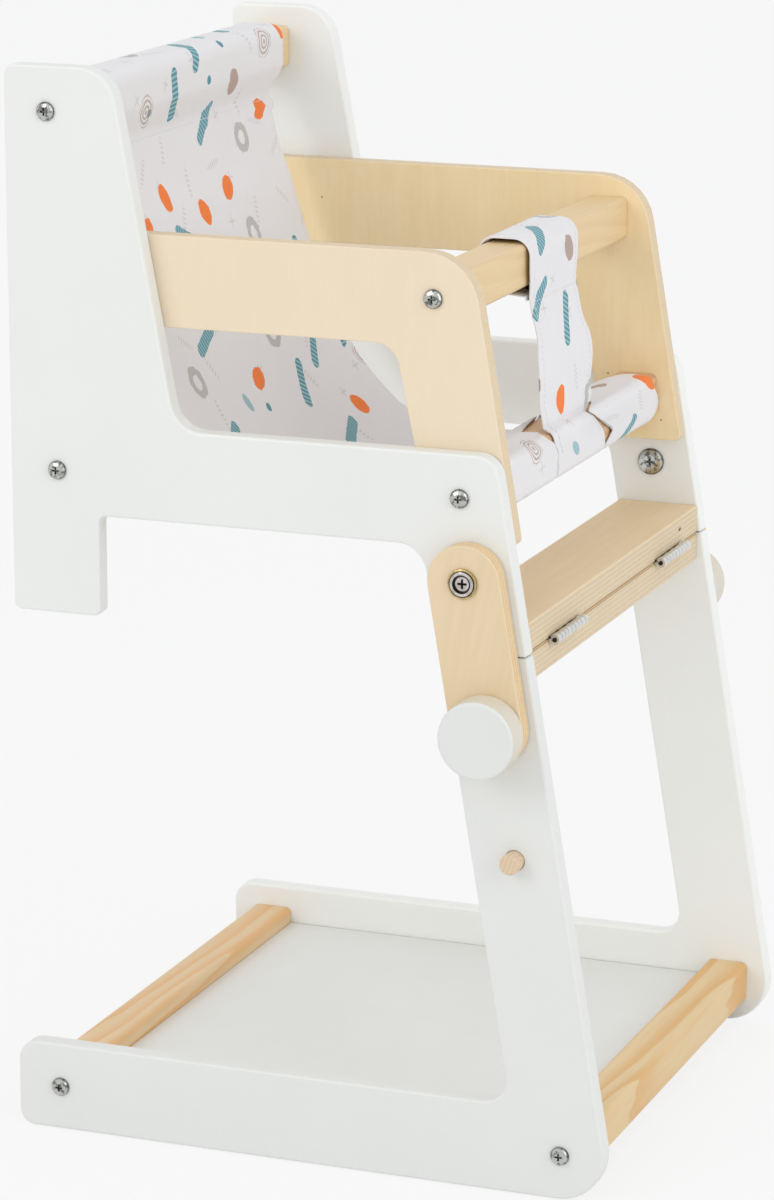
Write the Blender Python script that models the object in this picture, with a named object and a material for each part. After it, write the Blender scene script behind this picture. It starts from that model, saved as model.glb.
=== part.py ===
"""Doll high chair in two units: a slung seat that stands on a floor base.

Butt hinges join the seat's board to the base's board, and a hooked side link holds each side.
Swung forward by half a turn, the base becomes a table in front of a low chair, and each link
then hooks on the lower peg. Lengths are metres. The doll's left is +X, forward is -Y, up is +Z.
"""

import math

import bmesh
import bpy
from mathutils import Matrix, Vector

# Overall sizes
WIDTH = 0.290
HEIGHT = 0.540
BASE_FRONT = 0.31675
FRONT_LEAN_SHARE = 0.169
SPLIT_HEIGHT = 0.27025
SPLIT_GAP = 0.0005
SIDE_THICKNESS = 0.010
LEG_WIDTH = 0.045
EDGE_EASE = 0.0012

# Clearances and the overrun that carries every cut clear of its face
FIT = 0.0003
OVERRUN = 0.002
MERGE = 0.000001

# Base side panel
BASE_RAIL_HEIGHT = 0.0455
BASE_REAR_TOP_RADIUS = 0.011
BASE_REAR_BOTTOM_RADIUS = 0.008
BASE_FRONT_RADIUS = 0.024
BASE_INNER_RADIUS = 0.012
LEG_END_RADIUS = 0.0015

# Seat side panel
SEAT_REAR = 0.0027
SEAT_FOOT_WIDTH = 0.0467
SEAT_FOOT_HEIGHT = 0.0505
SEAT_RAIL_HEIGHT = 0.0455
BACKREST_TOP_WIDTH = 0.0557
BACKREST_LEAN_SHARE = 0.187
BACKREST_TOP_RADIUS = 0.006
BACKREST_FRONT_RADIUS = 0.020
BACKREST_INNER_RADIUS = 0.016
SEAT_RAIL_FRONT_RADIUS = 0.012
SEAT_LEG_INNER_RADIUS = 0.015
SEAT_FOOT_RADIUS = 0.004

# Armrest panel
ARM_THICKNESS = 0.0096
ARM_TOP = 0.460
ARM_BAND_HEIGHT = 0.045
ARM_SETBACK = 0.0007
ARM_REAR_INSET = 0.006
ARM_LEG_BOTTOM_WIDTH = 0.0425
ARM_LEG_TOP_WIDTH = 0.0458
ARM_FRONT_RADIUS = 0.028
ARM_INNER_RADIUS = 0.013
ARM_END_RADIUS = 0.003

# Cross bars, with the places of their centres
BAR_SIZE = 0.022
BAR_ROUND = 0.003
BACK_BAR_FROM_REAR = 0.0223
BACK_BAR_BELOW_TOP = 0.022
REAR_SEAT_BAR_FROM_REAR = 0.0251
REAR_SEAT_BAR_RISE = 0.0216
FRONT_SEAT_BAR_SETBACK = 0.0216
FRONT_SEAT_BAR_RISE = 0.0242
TRAY_BAR_SETBACK = 0.0226
TRAY_BAR_BELOW_TOP = 0.0222
BASE_REAR_BAR_FROM_REAR = 0.0232
BASE_FRONT_BAR_SETBACK = 0.0229

# Floor panel of the base, held in grooves
SHELF_THICKNESS = 0.004
SHELF_TOP = 0.025
SHELF_STEP = 0.0006
GROOVE_DEPTH = 0.003

# Hinged boards
BOARD_THICKNESS = 0.0145
BOARD_DEPTH = 0.0435
BOARD_SETBACK = 0.0026
BOARD_EASE = 0.0008
DOWEL_RADIUS = 0.003
DOWEL_IN_SIDE = 0.006
DOWEL_IN_BOARD = 0.013
DOWEL_SPREAD = 0.011

# Butt hinges
HINGE_INSET = 0.051
HINGE_LENGTH = 0.045
KNUCKLES = 9
PIN_AHEAD = 0.0031
PIN_RADIUS = 0.001
PIN_PROUD = 0.0004
KNUCKLE_BORE = 0.00135
KNUCKLE_RADIUS = 0.0025
LEAF_THICKNESS = 0.0011
LEAF_START = 0.003
LEAF_END = 0.0145
LEAF_SCREW_RADIUS = 0.0014
LEAF_SCREW_REACH = 0.009
LEAF_SCREW_INSET = 0.0095
LEAF_SCREW_SPREAD = 0.015

# Pan-head screws
SCREW_HEAD_RADIUS = 0.00475
SCREW_HEAD_HEIGHT = 0.0024
SCREW_RADIUS = 0.002
SCREW_IN_BAR = 0.024
SCREW_POINT = 0.003
CROSS_ARM = 0.0052
CROSS_WIDTH = 0.0011
CROSS_DEPTH = 0.0013

# Pegs in the base's posts
PEG_RADIUS = 0.005
PEG_SEAT = 0.007
PEG_REACH = 0.0085
PEG_CHAMFER = 0.0006
LOW_PEG_DROP = 0.10045

# Side links with their knobs
PIVOT_RISE = 0.03655
LINK_THICKNESS = 0.010
LINK_GAP = 0.0005
LINK_HALF_WIDTH = 0.0182
LINK_EASE = 0.0006
HOOK_CLEARANCE = 0.00035
KNOB_RADIUS = 0.0192
KNOB_THICKNESS = 0.016
KNOB_ROUND = 0.0015
KNOB_SCREW_OFFSET = 0.013
KNOB_SCREW_RADIUS = 0.0016
KNOB_SCREW_HEAD = 0.0032
KNOB_SCREW_SINK = 0.0018
KNOB_SCREW_REACH = 0.007

# Pivot bolt and its nut
BOLT_HEAD_RADIUS = 0.0073
BOLT_HEAD_HEIGHT = 0.0019
BOLT_CUP_RADIUS = 0.0040
BOLT_CUP_DEPTH = 0.0012
BOLT_RADIUS = 0.004
BOLT_BORE = 0.0024
BOLT_BORE_DEPTH = 0.014
NUT_HEAD_RADIUS = 0.0072
NUT_HEAD_HEIGHT = 0.0021
NUT_STEM_RADIUS = 0.0021
NUT_STEM_LENGTH = 0.011

# Cloth
CLOTH_THICKNESS = 0.0012
CLOTH_CLEARANCE = 0.00035
FLAP_GAP = 0.0004
SLEEVE_SLACK = 0.001
SLEEVE_ROUND = 0.007
TIGHT_ROUND = 0.004
SLING_INSET = 0.005
SLING_DRAW_IN = 0.008
SLING_KNOT_DROP = 0.0214
SLING_KNOT_AHEAD = 0.0077
SLING_FLAP = 0.010
SLING_EDGE_CURL = 0.005
SLING_SAG = 0.004
SLING_FREE_END = 0.024
SLING_DROP_OFF = 0.030
TAB_KNOT_BACK = 0.033
TAB_EAR = 0.0042
TAB_GAP = 0.0005
TAB_OPENING = 0.010
STRAP_START_GAP = 0.0006
STRAP_HALF_WIDTH = 0.036
STRAP_FLARE = 0.0015
STRAP_KNOT_DROP = 0.0195
STRAP_KNOT_AHEAD = 0.013
STRAP_FLAP = 0.008

# The hanging cloth between its two bars: shares of the way forward and of the way down
SLING_HANG_SHARES = (
    (0.032, 0.186),
    (0.059, 0.283),
    (0.091, 0.422),
    (0.118, 0.533),
    (0.173, 0.717),
    (0.227, 0.880),
    (0.271, 0.972),
    (0.344, 1.080),
    (0.389, 1.127),
    (0.477, 1.150),
    (0.575, 1.157),
    (0.697, 1.147),
    (0.820, 1.118),
    (0.893, 1.099),
)
# The strap between its two bars: shares of the way up, and of its length outwards
STRAP_BOW_SHARES = (
    (0.024, -0.040),
    (0.095, -0.050),
    (0.193, -0.045),
    (0.372, -0.005),
    (0.552, 0.010),
    (0.878, -0.005),
)
# The tabs' inner edges along their length: shares of how far they stand off the strap
TAB_EDGE_RIGHT_SHARES = ((0.0, 0.0), (0.15, 0.0), (0.22, 0.4), (0.33, 0.85), (0.52, 0.97), (1.0, 1.0))
TAB_EDGE_LEFT_SHARES = (
    (0.0, 0.0),
    (0.07, 0.0),
    (0.13, 1.0),
    (0.20, 0.55),
    (0.27, 0.20),
    (0.35, 0.12),
    (1.0, 0.12),
)
# The tabs' outer edges along their length: shares of the ear that stands out towards the armrest
TAB_EAR_SHARES = ((0.0, 0.0), (0.06, 0.35), (0.13, 1.0), (0.22, 0.75), (0.33, 0.0), (1.0, 0.0))
PROFILE_ROUND_SHARE = 0.5
CROSS_TAPER_SHARE = 0.45
DOME_SHARES = ((1.0, 0.0), (0.97, 0.35), (0.80, 0.72), (0.50, 0.93))
POINT_SHARE = 0.25
TAB_SHARE = 0.36

# Counts and angles
ARC_STEP = math.radians(11.25)
EASE_STEPS = 2
KNOB_ROUND_STEPS = 3
SCREW_SIDES = 16
ROD_SIDES = 12
KNOB_SIDES = 40
BOLT_SIDES = 24
CURL_START = math.radians(150)
CURL_STEPS = 10
HOOK_PATH_STEPS = 60
SLEEVE_ARC_STEPS = 3
SLEEVE_FLAT_STEPS = 3
SLING_HANG_STEPS = 17
SLING_COLUMN_SHARES = (-1.0, -0.93, -0.72, -0.36, -0.12, 0.12, 0.36, 0.72, 0.93, 1.0)
STRAP_RISE_STEPS = 12
STRAP_COLUMN_SHARES = (-1.0, -0.5, 0.0, 0.5, 1.0)

# Colour, roughness and metallic of each finish
WHITE_PAINT = ((0.86, 0.86, 0.85), 0.42, 0.0)
PLYWOOD = ((0.83, 0.72, 0.52), 0.55, 0.0)
BOARD_WOOD = ((0.76, 0.62, 0.43), 0.60, 0.0)
PINE = ((0.83, 0.62, 0.36), 0.50, 0.0)
NICKEL = ((0.72, 0.72, 0.70), 0.25, 1.0)
AGED_STEEL = ((0.45, 0.40, 0.33), 0.30, 1.0)
PRINTED_CLOTH = ((0.84, 0.82, 0.83), 0.90, 0.0)


# Places worked out from the sizes above; u runs forward from the base's rear end

INNER_X = WIDTH / 2 - SIDE_THICKNESS
OUTER_X = WIDTH / 2
ARM_INNER_X = INNER_X - FIT - ARM_THICKNESS
TONGUE_TOP = SHELF_TOP - SHELF_STEP
TONGUE_BOTTOM = SHELF_TOP - SHELF_THICKNESS + SHELF_STEP
LEAN_LENGTH = math.hypot(1, FRONT_LEAN_SHARE)
HALF_DEPTH = (BASE_FRONT - BASE_FRONT_RADIUS * (FRONT_LEAN_SHARE + LEAN_LENGTH - 1)) / 2


def front_line(z):
    """How far forward the raked front edge lies at a height."""
    return BASE_FRONT - FRONT_LEAN_SHARE * z


def leg_middle(z):
    return front_line(z) - LEG_WIDTH / 2


POST_TOP = SPLIT_HEIGHT - SPLIT_GAP / 2
SEAT_BOTTOM = SPLIT_HEIGHT + SPLIT_GAP / 2
SEAT_RAIL_BOTTOM = SEAT_BOTTOM + SEAT_FOOT_HEIGHT
SEAT_RAIL_TOP = SEAT_RAIL_BOTTOM + SEAT_RAIL_HEIGHT
BOARD_FRONT = front_line(SPLIT_HEIGHT) - BOARD_SETBACK
PIN = Vector((BOARD_FRONT + PIN_AHEAD, SPLIT_HEIGHT))
HINGE_PLACE = INNER_X - HINGE_INSET

BACK_BAR = Vector((SEAT_REAR + BACK_BAR_FROM_REAR, HEIGHT - BACK_BAR_BELOW_TOP))
REAR_SEAT_BAR = Vector((SEAT_REAR + REAR_SEAT_BAR_FROM_REAR, SEAT_RAIL_BOTTOM + REAR_SEAT_BAR_RISE))
FRONT_SEAT_BAR_Z = SEAT_RAIL_BOTTOM + FRONT_SEAT_BAR_RISE
FRONT_SEAT_BAR = Vector((front_line(FRONT_SEAT_BAR_Z) - FRONT_SEAT_BAR_SETBACK, FRONT_SEAT_BAR_Z))
TRAY_BAR_Z = ARM_TOP - TRAY_BAR_BELOW_TOP
TRAY_BAR = Vector((front_line(TRAY_BAR_Z) - ARM_SETBACK - TRAY_BAR_SETBACK, TRAY_BAR_Z))
BASE_REAR_BAR = Vector((BASE_REAR_BAR_FROM_REAR, BASE_RAIL_HEIGHT / 2))
BASE_FRONT_BAR_U = front_line(BASE_RAIL_HEIGHT / 2) - BASE_FRONT_BAR_SETBACK
BASE_FRONT_BAR = Vector((BASE_FRONT_BAR_U, BASE_RAIL_HEIGHT / 2))

# The link hooks one peg in each of the chair's two positions, so its length follows the lower
# peg as the half turn about the hinge pin carries it, and the upper peg lies as far below
PIVOT = Vector((leg_middle(SPLIT_HEIGHT + PIVOT_RISE), SPLIT_HEIGHT + PIVOT_RISE))
LOW_PEG = Vector((leg_middle(SPLIT_HEIGHT - LOW_PEG_DROP), SPLIT_HEIGHT - LOW_PEG_DROP))
LOW_PEG_FOLDED = PIN * 2 - LOW_PEG
LINK_LENGTH = (LOW_PEG_FOLDED - PIVOT).length
DOWN_LEG = Vector((FRONT_LEAN_SHARE, -1)).normalized()
HIGH_PEG = PIVOT + DOWN_LEG * LINK_LENGTH
LINK_START = math.atan2(DOWN_LEG.y, DOWN_LEG.x)
LINK_TURN = math.atan2(LOW_PEG_FOLDED.y - PIVOT.y, LOW_PEG_FOLDED.x - PIVOT.x) - LINK_START
LINK_INNER_X = OUTER_X + LINK_GAP
LINK_OUTER_X = LINK_INNER_X + LINK_THICKNESS


# Modelling helpers


def place(x, u, z):
    """The point of the model at x across, u forward of the rear end and z up."""
    return Vector((x, HALF_DEPTH - u, z))


def turned(vector, angle):
    return Vector(
        (
            vector.x * math.cos(angle) - vector.y * math.sin(angle),
            vector.x * math.sin(angle) + vector.y * math.cos(angle),
        )
    )


def rounded(corners):
    """The closed outline through (u, z, radius) corners, each corner turned into an arc."""
    outline = []
    for i, (u, z, radius) in enumerate(corners):
        here = Vector((u, z))
        before = (Vector(corners[i - 1][:2]) - here).normalized()
        after = (Vector(corners[(i + 1) % len(corners)][:2]) - here).normalized()
        half = before.angle(after) / 2
        centre = here + (before + after).normalized() * (radius / math.sin(half))
        start = here + before * (radius / math.tan(half)) - centre
        turn = math.copysign(math.pi - 2 * half, after.cross(before))
        steps = max(2, round(abs(turn) / ARC_STEP))
        for step in range(steps + 1):
            outline.append(centre + turned(start, turn * step / steps))
    return outline


def circle(centre, radius, sides):
    """A closed ring of points."""
    turns = [math.tau * (i + 0.5) / sides for i in range(sides)]
    return [centre + Vector((math.cos(turn), math.sin(turn))) * radius for turn in turns]


def prism(outline, x0, x1):
    """A bmesh solid: an outline in (u, z) carried across from x0 to x1."""
    mesh = bmesh.new()
    face = mesh.faces.new([mesh.verts.new(place(x0, u, z)) for u, z in outline])
    grown = bmesh.ops.extrude_face_region(mesh, geom=[face])
    moved = [item for item in grown["geom"] if isinstance(item, bmesh.types.BMVert)]
    bmesh.ops.translate(mesh, verts=moved, vec=(x1 - x0, 0, 0))
    bmesh.ops.recalc_face_normals(mesh, faces=mesh.faces)
    return mesh


def ease_rims(mesh, width):
    """Rounds over the rims of the two broad faces of a prism."""
    rims = [
        edge
        for edge in mesh.edges
        if abs(edge.verts[0].co.x - edge.verts[1].co.x) < MERGE
    ]
    bmesh.ops.bevel(
        mesh,
        geom=rims,
        offset=width,
        segments=EASE_STEPS,
        profile=PROFILE_ROUND_SHARE,
        affect="EDGES",
    )


def box(x0, x1, u0, u1, z0, z1):
    return prism([(u0, z0), (u1, z0), (u1, z1), (u0, z1)], x0, x1)


def rod(centre, radius, x0, x1, sides=ROD_SIDES):
    return prism(circle(centre, radius, sides), x0, x1)


def revolved(profile, centre, side, sides):
    """A bmesh solid: (x, radius) points spun about the axis across the chair through centre."""
    mesh = bmesh.new()
    points = [
        mesh.verts.new(place(side * x, centre.x, centre.y + radius)) for x, radius in profile
    ]
    lines = [mesh.edges.new(pair) for pair in zip(points, points[1:])]
    bmesh.ops.spin(
        mesh,
        geom=points + lines,
        cent=place(0, centre.x, centre.y),
        axis=(1, 0, 0),
        angle=math.tau,
        steps=sides,
        use_merge=True,
    )
    bmesh.ops.remove_doubles(mesh, verts=mesh.verts, dist=MERGE)
    bmesh.ops.recalc_face_normals(mesh, faces=mesh.faces)
    return mesh


def joined(*meshes):
    """One bmesh that holds several solids that don't touch, for use as a cutter."""
    whole = bmesh.new()
    for mesh in meshes:
        copy = bpy.data.meshes.new("copy")
        mesh.to_mesh(copy)
        whole.from_mesh(copy)
        bpy.data.meshes.remove(copy)
    return whole


def combined(mesh, tool, operation):
    """The bmesh after an exact Boolean with a tool bmesh."""
    holders = []
    for source in (mesh, tool):
        data = bpy.data.meshes.new("holder")
        source.to_mesh(data)
        holder = bpy.data.objects.new("holder", data)
        bpy.context.scene.collection.objects.link(holder)
        holders.append(holder)
    change = holders[0].modifiers.new("change", "BOOLEAN")
    change.object = holders[1]
    change.operation = operation
    change.solver = "EXACT"
    bpy.context.view_layer.update()
    evaluated = holders[0].evaluated_get(bpy.context.evaluated_depsgraph_get())
    result = bmesh.new()
    result.from_mesh(evaluated.data)
    for holder in holders:
        data = holder.data
        bpy.data.objects.remove(holder)
        bpy.data.meshes.remove(data)
    return result


def cut(mesh, *tools):
    return combined(mesh, joined(*tools), "DIFFERENCE")


def piece(name, mesh, look, parent=None):
    """Makes the named object, with its origin on its parent's axis and its own material."""
    origin = parent.matrix_world.translation.copy() if parent else Vector((0, 0, 0))
    bmesh.ops.translate(mesh, verts=mesh.verts, vec=-origin)
    data = bpy.data.meshes.new(name)
    mesh.to_mesh(data)
    data.shade_smooth()
    data.set_sharp_from_angle(angle=math.radians(35))
    colour, roughness, metallic = look
    material = bpy.data.materials.new(name)
    material.use_nodes = True
    shader = material.node_tree.nodes["Principled BSDF"]
    shader.inputs["Base Color"].default_value = (*colour, 1)
    shader.inputs["Roughness"].default_value = roughness
    shader.inputs["Metallic"].default_value = metallic
    material.diffuse_color = (*colour, 1)
    data.materials.append(material)
    made = bpy.data.objects.new(name, data)
    bpy.context.scene.collection.objects.link(made)
    made.parent = parent
    return made


def axis_empty(name, point, x=0.0, parent=None):
    """An empty on a joint's axis, which carries the pieces that turn about it."""
    empty = bpy.data.objects.new(name, None)
    bpy.context.scene.collection.objects.link(empty)
    start = parent.matrix_world.translation if parent else Vector((0, 0, 0))
    empty.parent = parent
    empty.location = place(x, point.x, point.y) - start
    bpy.context.view_layer.update()
    return empty


# Side panels


def base_side(side):
    """A floor rail with a raked post, cut for the bars, shelf, pegs and board."""
    corners = [
        (0, 0, BASE_REAR_BOTTOM_RADIUS),
        (BASE_FRONT, 0, BASE_FRONT_RADIUS),
        (front_line(POST_TOP), POST_TOP, LEG_END_RADIUS),
        (front_line(POST_TOP) - LEG_WIDTH, POST_TOP, LEG_END_RADIUS),
        (front_line(BASE_RAIL_HEIGHT) - LEG_WIDTH, BASE_RAIL_HEIGHT, BASE_INNER_RADIUS),
        (0, BASE_RAIL_HEIGHT, BASE_REAR_TOP_RADIUS),
    ]
    mesh = prism(rounded(corners), side * INNER_X, side * OUTER_X)
    ease_rims(mesh, EDGE_EASE)
    inside = side * (INNER_X - OVERRUN)
    outside = side * (OUTER_X + OVERRUN)
    tools = [
        rod(bar, SCREW_RADIUS + FIT, inside, outside) for bar in (BASE_REAR_BAR, BASE_FRONT_BAR)
    ]
    seat = side * (OUTER_X - PEG_SEAT - FIT)
    tools += [
        rod(peg, PEG_RADIUS + FIT, seat, outside, SCREW_SIDES) for peg in (HIGH_PEG, LOW_PEG)
    ]
    tools += board_dowel_holes(side, base_board_middle(), inside)
    tools.append(
        box(
            inside,
            side * (INNER_X + GROOVE_DEPTH),
            tongue_rear() - FIT,
            tongue_front() + FIT,
            TONGUE_BOTTOM - FIT,
            TONGUE_TOP + FIT,
        )
    )
    return cut(mesh, *tools)


def seat_side(side):
    """A foot, seat rail, front leg and backrest in one panel."""
    backrest_top = SEAT_REAR + BACKREST_TOP_WIDTH
    backrest_foot = backrest_top + BACKREST_LEAN_SHARE * (HEIGHT - SEAT_RAIL_TOP)
    leg_back_low = front_line(SEAT_BOTTOM) - LEG_WIDTH
    leg_back_high = front_line(SEAT_RAIL_BOTTOM) - LEG_WIDTH
    foot_front = SEAT_REAR + SEAT_FOOT_WIDTH
    corners = [
        (SEAT_REAR, SEAT_BOTTOM, SEAT_FOOT_RADIUS),
        (foot_front, SEAT_BOTTOM, SEAT_FOOT_RADIUS),
        (foot_front, SEAT_RAIL_BOTTOM, SEAT_FOOT_RADIUS),
        (leg_back_high, SEAT_RAIL_BOTTOM, SEAT_LEG_INNER_RADIUS),
        (leg_back_low, SEAT_BOTTOM, LEG_END_RADIUS),
        (front_line(SEAT_BOTTOM), SEAT_BOTTOM, LEG_END_RADIUS),
        (front_line(SEAT_RAIL_TOP), SEAT_RAIL_TOP, SEAT_RAIL_FRONT_RADIUS),
        (backrest_foot, SEAT_RAIL_TOP, BACKREST_INNER_RADIUS),
        (backrest_top, HEIGHT, BACKREST_FRONT_RADIUS),
        (SEAT_REAR, HEIGHT, BACKREST_TOP_RADIUS),
    ]
    mesh = prism(rounded(corners), side * INNER_X, side * OUTER_X)
    ease_rims(mesh, EDGE_EASE)
    inside = side * (INNER_X - OVERRUN)
    outside = side * (OUTER_X + OVERRUN)
    tools = [
        rod(bar, SCREW_RADIUS + FIT, inside, outside)
        for bar in (BACK_BAR, REAR_SEAT_BAR, FRONT_SEAT_BAR)
    ]
    tools.append(rod(PIVOT, BOLT_RADIUS + FIT, inside, outside, SCREW_SIDES))
    tools += board_dowel_holes(side, seat_board_middle(), inside)
    return cut(mesh, *tools)


def armrest(side):
    """A level band from the backrest to a raked leg inside the side panel."""
    band_bottom = ARM_TOP - ARM_BAND_HEIGHT
    rear = SEAT_REAR + ARM_REAR_INSET

    def front(z):
        return front_line(z) - ARM_SETBACK

    corners = [
        (front(SEAT_RAIL_BOTTOM) - ARM_LEG_BOTTOM_WIDTH, SEAT_RAIL_BOTTOM, ARM_END_RADIUS),
        (front(SEAT_RAIL_BOTTOM), SEAT_RAIL_BOTTOM, ARM_END_RADIUS),
        (front(ARM_TOP), ARM_TOP, ARM_FRONT_RADIUS),
        (rear, ARM_TOP, ARM_END_RADIUS),
        (rear, band_bottom, ARM_END_RADIUS),
        (front(band_bottom) - ARM_LEG_TOP_WIDTH, band_bottom, ARM_INNER_RADIUS),
    ]
    inner = side * ARM_INNER_X
    outer = side * (INNER_X - FIT)
    mesh = prism(rounded(corners), inner, outer)
    ease_rims(mesh, LINK_EASE)
    across = (inner - side * OVERRUN, outer + side * OVERRUN)
    tools = [rod(bar, SCREW_RADIUS + FIT, *across) for bar in (FRONT_SEAT_BAR, TRAY_BAR)]
    return cut(mesh, *tools)


# Bars, boards and the shelf


def cross_bar(centre, reach, groove=0):
    """A round-cornered square bar, bored at both ends; groove is the side that holds the shelf."""
    half = BAR_SIZE / 2
    corners = [
        (centre.x - half, centre.y - half, BAR_ROUND),
        (centre.x + half, centre.y - half, BAR_ROUND),
        (centre.x + half, centre.y + half, BAR_ROUND),
        (centre.x - half, centre.y + half, BAR_ROUND),
    ]
    mesh = prism(rounded(corners), -reach, reach)
    tools = [
        rod(
            centre,
            SCREW_RADIUS + FIT,
            side * (reach - SCREW_IN_BAR - FIT),
            side * (reach + OVERRUN),
        )
        for side in (-1, 1)
    ]
    if groove:
        face = centre.x + groove * half
        tools.append(
            box(
                -reach - OVERRUN,
                reach + OVERRUN,
                face - groove * GROOVE_DEPTH,
                face + groove * OVERRUN,
                TONGUE_BOTTOM - FIT,
                TONGUE_TOP + FIT,
            )
        )
    return cut(mesh, *tools)


def tongue_rear():
    return BASE_REAR_BAR.x + BAR_SIZE / 2 - GROOVE_DEPTH + FIT


def tongue_front():
    return BASE_FRONT_BAR.x - BAR_SIZE / 2 + GROOVE_DEPTH - FIT


def shelf():
    """The floor panel, with a thinner tongue all round that sits in the grooves."""
    reach = INNER_X + GROOVE_DEPTH - FIT
    tongue = box(-reach, reach, tongue_rear(), tongue_front(), TONGUE_BOTTOM, TONGUE_TOP)
    reach -= GROOVE_DEPTH
    rear = tongue_rear() + GROOVE_DEPTH
    front = tongue_front() - GROOVE_DEPTH
    panel = box(-reach, reach, rear, front, SHELF_TOP - SHELF_THICKNESS, SHELF_TOP)
    return combined(tongue, panel, "UNION")


def base_board_middle():
    return Vector((BOARD_FRONT - BOARD_DEPTH / 2, POST_TOP - BOARD_THICKNESS / 2))


def seat_board_middle():
    return Vector((BOARD_FRONT - BOARD_DEPTH / 2, SEAT_BOTTOM + BOARD_THICKNESS / 2))


def dowel_centres(middle):
    return [middle - Vector((DOWEL_SPREAD, 0)), middle + Vector((DOWEL_SPREAD, 0))]


def board_dowel_holes(side, middle, inside):
    end = side * (INNER_X + DOWEL_IN_SIDE + FIT)
    return [rod(centre, DOWEL_RADIUS + FIT, inside, end) for centre in dowel_centres(middle)]


def hinged_board(middle, upper):
    """A plywood board with a seat for two hinge leaves on the face at the split."""
    reach = INNER_X - FIT
    half_depth = BOARD_DEPTH / 2
    half_thickness = BOARD_THICKNESS / 2
    corners = [
        (middle.x - half_depth, middle.y - half_thickness, BOARD_EASE),
        (middle.x + half_depth, middle.y - half_thickness, BOARD_EASE),
        (middle.x + half_depth, middle.y + half_thickness, BOARD_EASE),
        (middle.x - half_depth, middle.y + half_thickness, BOARD_EASE),
    ]
    mesh = prism(rounded(corners), -reach, reach)
    tools = []
    lift = 1 if upper else -1
    for side in (-1, 1):
        end = side * (reach + OVERRUN)
        start = side * (INNER_X - DOWEL_IN_BOARD - FIT)
        tools += [rod(c, DOWEL_RADIUS + FIT, start, end) for c in dowel_centres(middle)]
        middle_x = side * HINGE_PLACE
        half_length = HINGE_LENGTH / 2 + FIT
        tools.append(
            box(
                middle_x - half_length,
                middle_x + half_length,
                PIN.x - LEAF_END - FIT,
                BOARD_FRONT + OVERRUN,
                SPLIT_HEIGHT - lift * OVERRUN,
                SPLIT_HEIGHT + lift * (FIT / 2 + LEAF_THICKNESS + FIT),
            )
        )
    mesh = cut(mesh, *tools)
    screws = [leaf_screw(x, upper, LEAF_SCREW_RADIUS + FIT, FIT) for x in leaf_screw_places()]
    return cut(mesh, *screws)


# Butt hinges


def leaf_screw_places():
    return [
        side * HINGE_PLACE + offset * LEAF_SCREW_SPREAD for side in (-1, 1) for offset in (-1, 1)
    ]


def leaf_screw(x, upper, radius, longer=0.0):
    """The shank of a leaf's screw, upright in its board."""
    lift = 1 if upper else -1
    mesh = bmesh.new()
    length = LEAF_SCREW_REACH + longer
    start = SPLIT_HEIGHT + lift * (FIT + LEAF_THICKNESS) / 2
    middle = place(x, PIN.x - LEAF_SCREW_INSET, start + lift * length / 2)
    bmesh.ops.create_cone(
        mesh,
        cap_ends=True,
        segments=ROD_SIDES,
        radius1=radius,
        radius2=radius,
        depth=length,
        matrix=Matrix.Translation(middle),
    )
    return mesh


def knuckle_spans(upper):
    """The stretches along the hinge that one leaf's knuckles fill, every other one."""
    length = HINGE_LENGTH / KNUCKLES
    first = 1 if upper else 0
    return [
        (i * length + FIT / 2, (i + 1) * length - FIT / 2) for i in range(first, KNUCKLES, 2)
    ]


def hinge_leaf(side, upper):
    """A flat leaf whose knuckles are rolled round the pin, with its two screws."""
    lift = 1 if upper else -1
    low = FIT / 2
    high = low + LEAF_THICKNESS
    origin = side * HINGE_PLACE - HINGE_LENGTH / 2
    mesh = bmesh.new()

    def corner(along, ahead, up):
        return mesh.verts.new(place(origin + along, PIN.x + ahead, PIN.y + lift * up))

    spans = knuckle_spans(upper)
    stations = sorted({0.0, HINGE_LENGTH, *[end for span in spans for end in span]})
    section = ((-LEAF_START, low), (-LEAF_START, high), (-LEAF_END, high), (-LEAF_END, low))
    rings = [[corner(along, *spot) for spot in section] for along in stations]
    mesh.faces.new(rings[0])
    mesh.faces.new(reversed(rings[-1]))
    for i, (first, second) in enumerate(zip(rings, rings[1:])):
        rolled = (stations[i], stations[i + 1]) in spans
        for k in range(1 if rolled else 0, 4):
            after = (k + 1) % 4
            mesh.faces.new((first[k], second[k], second[after], first[after]))
        if rolled:
            strip = [first[0], first[1], second[1], second[0]]
            for step in range(CURL_STEPS + 1):
                angle = CURL_START * (1 - 2 * step / CURL_STEPS)
                way = Vector((math.cos(angle), math.sin(angle)))
                inner = way * KNUCKLE_BORE
                outer = way * KNUCKLE_RADIUS
                ring = [
                    corner(stations[i], *inner),
                    corner(stations[i], *outer),
                    corner(stations[i + 1], *outer),
                    corner(stations[i + 1], *inner),
                ]
                for k in range(4):
                    after = (k + 1) % 4
                    mesh.faces.new((strip[k], ring[k], ring[after], strip[after]))
                strip = ring
            mesh.faces.new(strip)
    bmesh.ops.recalc_face_normals(mesh, faces=mesh.faces)
    for x in leaf_screw_places():
        if side * x > 0:
            mesh = combined(mesh, leaf_screw(x, upper, LEAF_SCREW_RADIUS), "UNION")
    return mesh


def hinge_pin(side):
    half = HINGE_LENGTH / 2 + PIN_PROUD
    middle = side * HINGE_PLACE
    return rod(PIN, PIN_RADIUS, middle - half, middle + half)


# Fasteners


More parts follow.
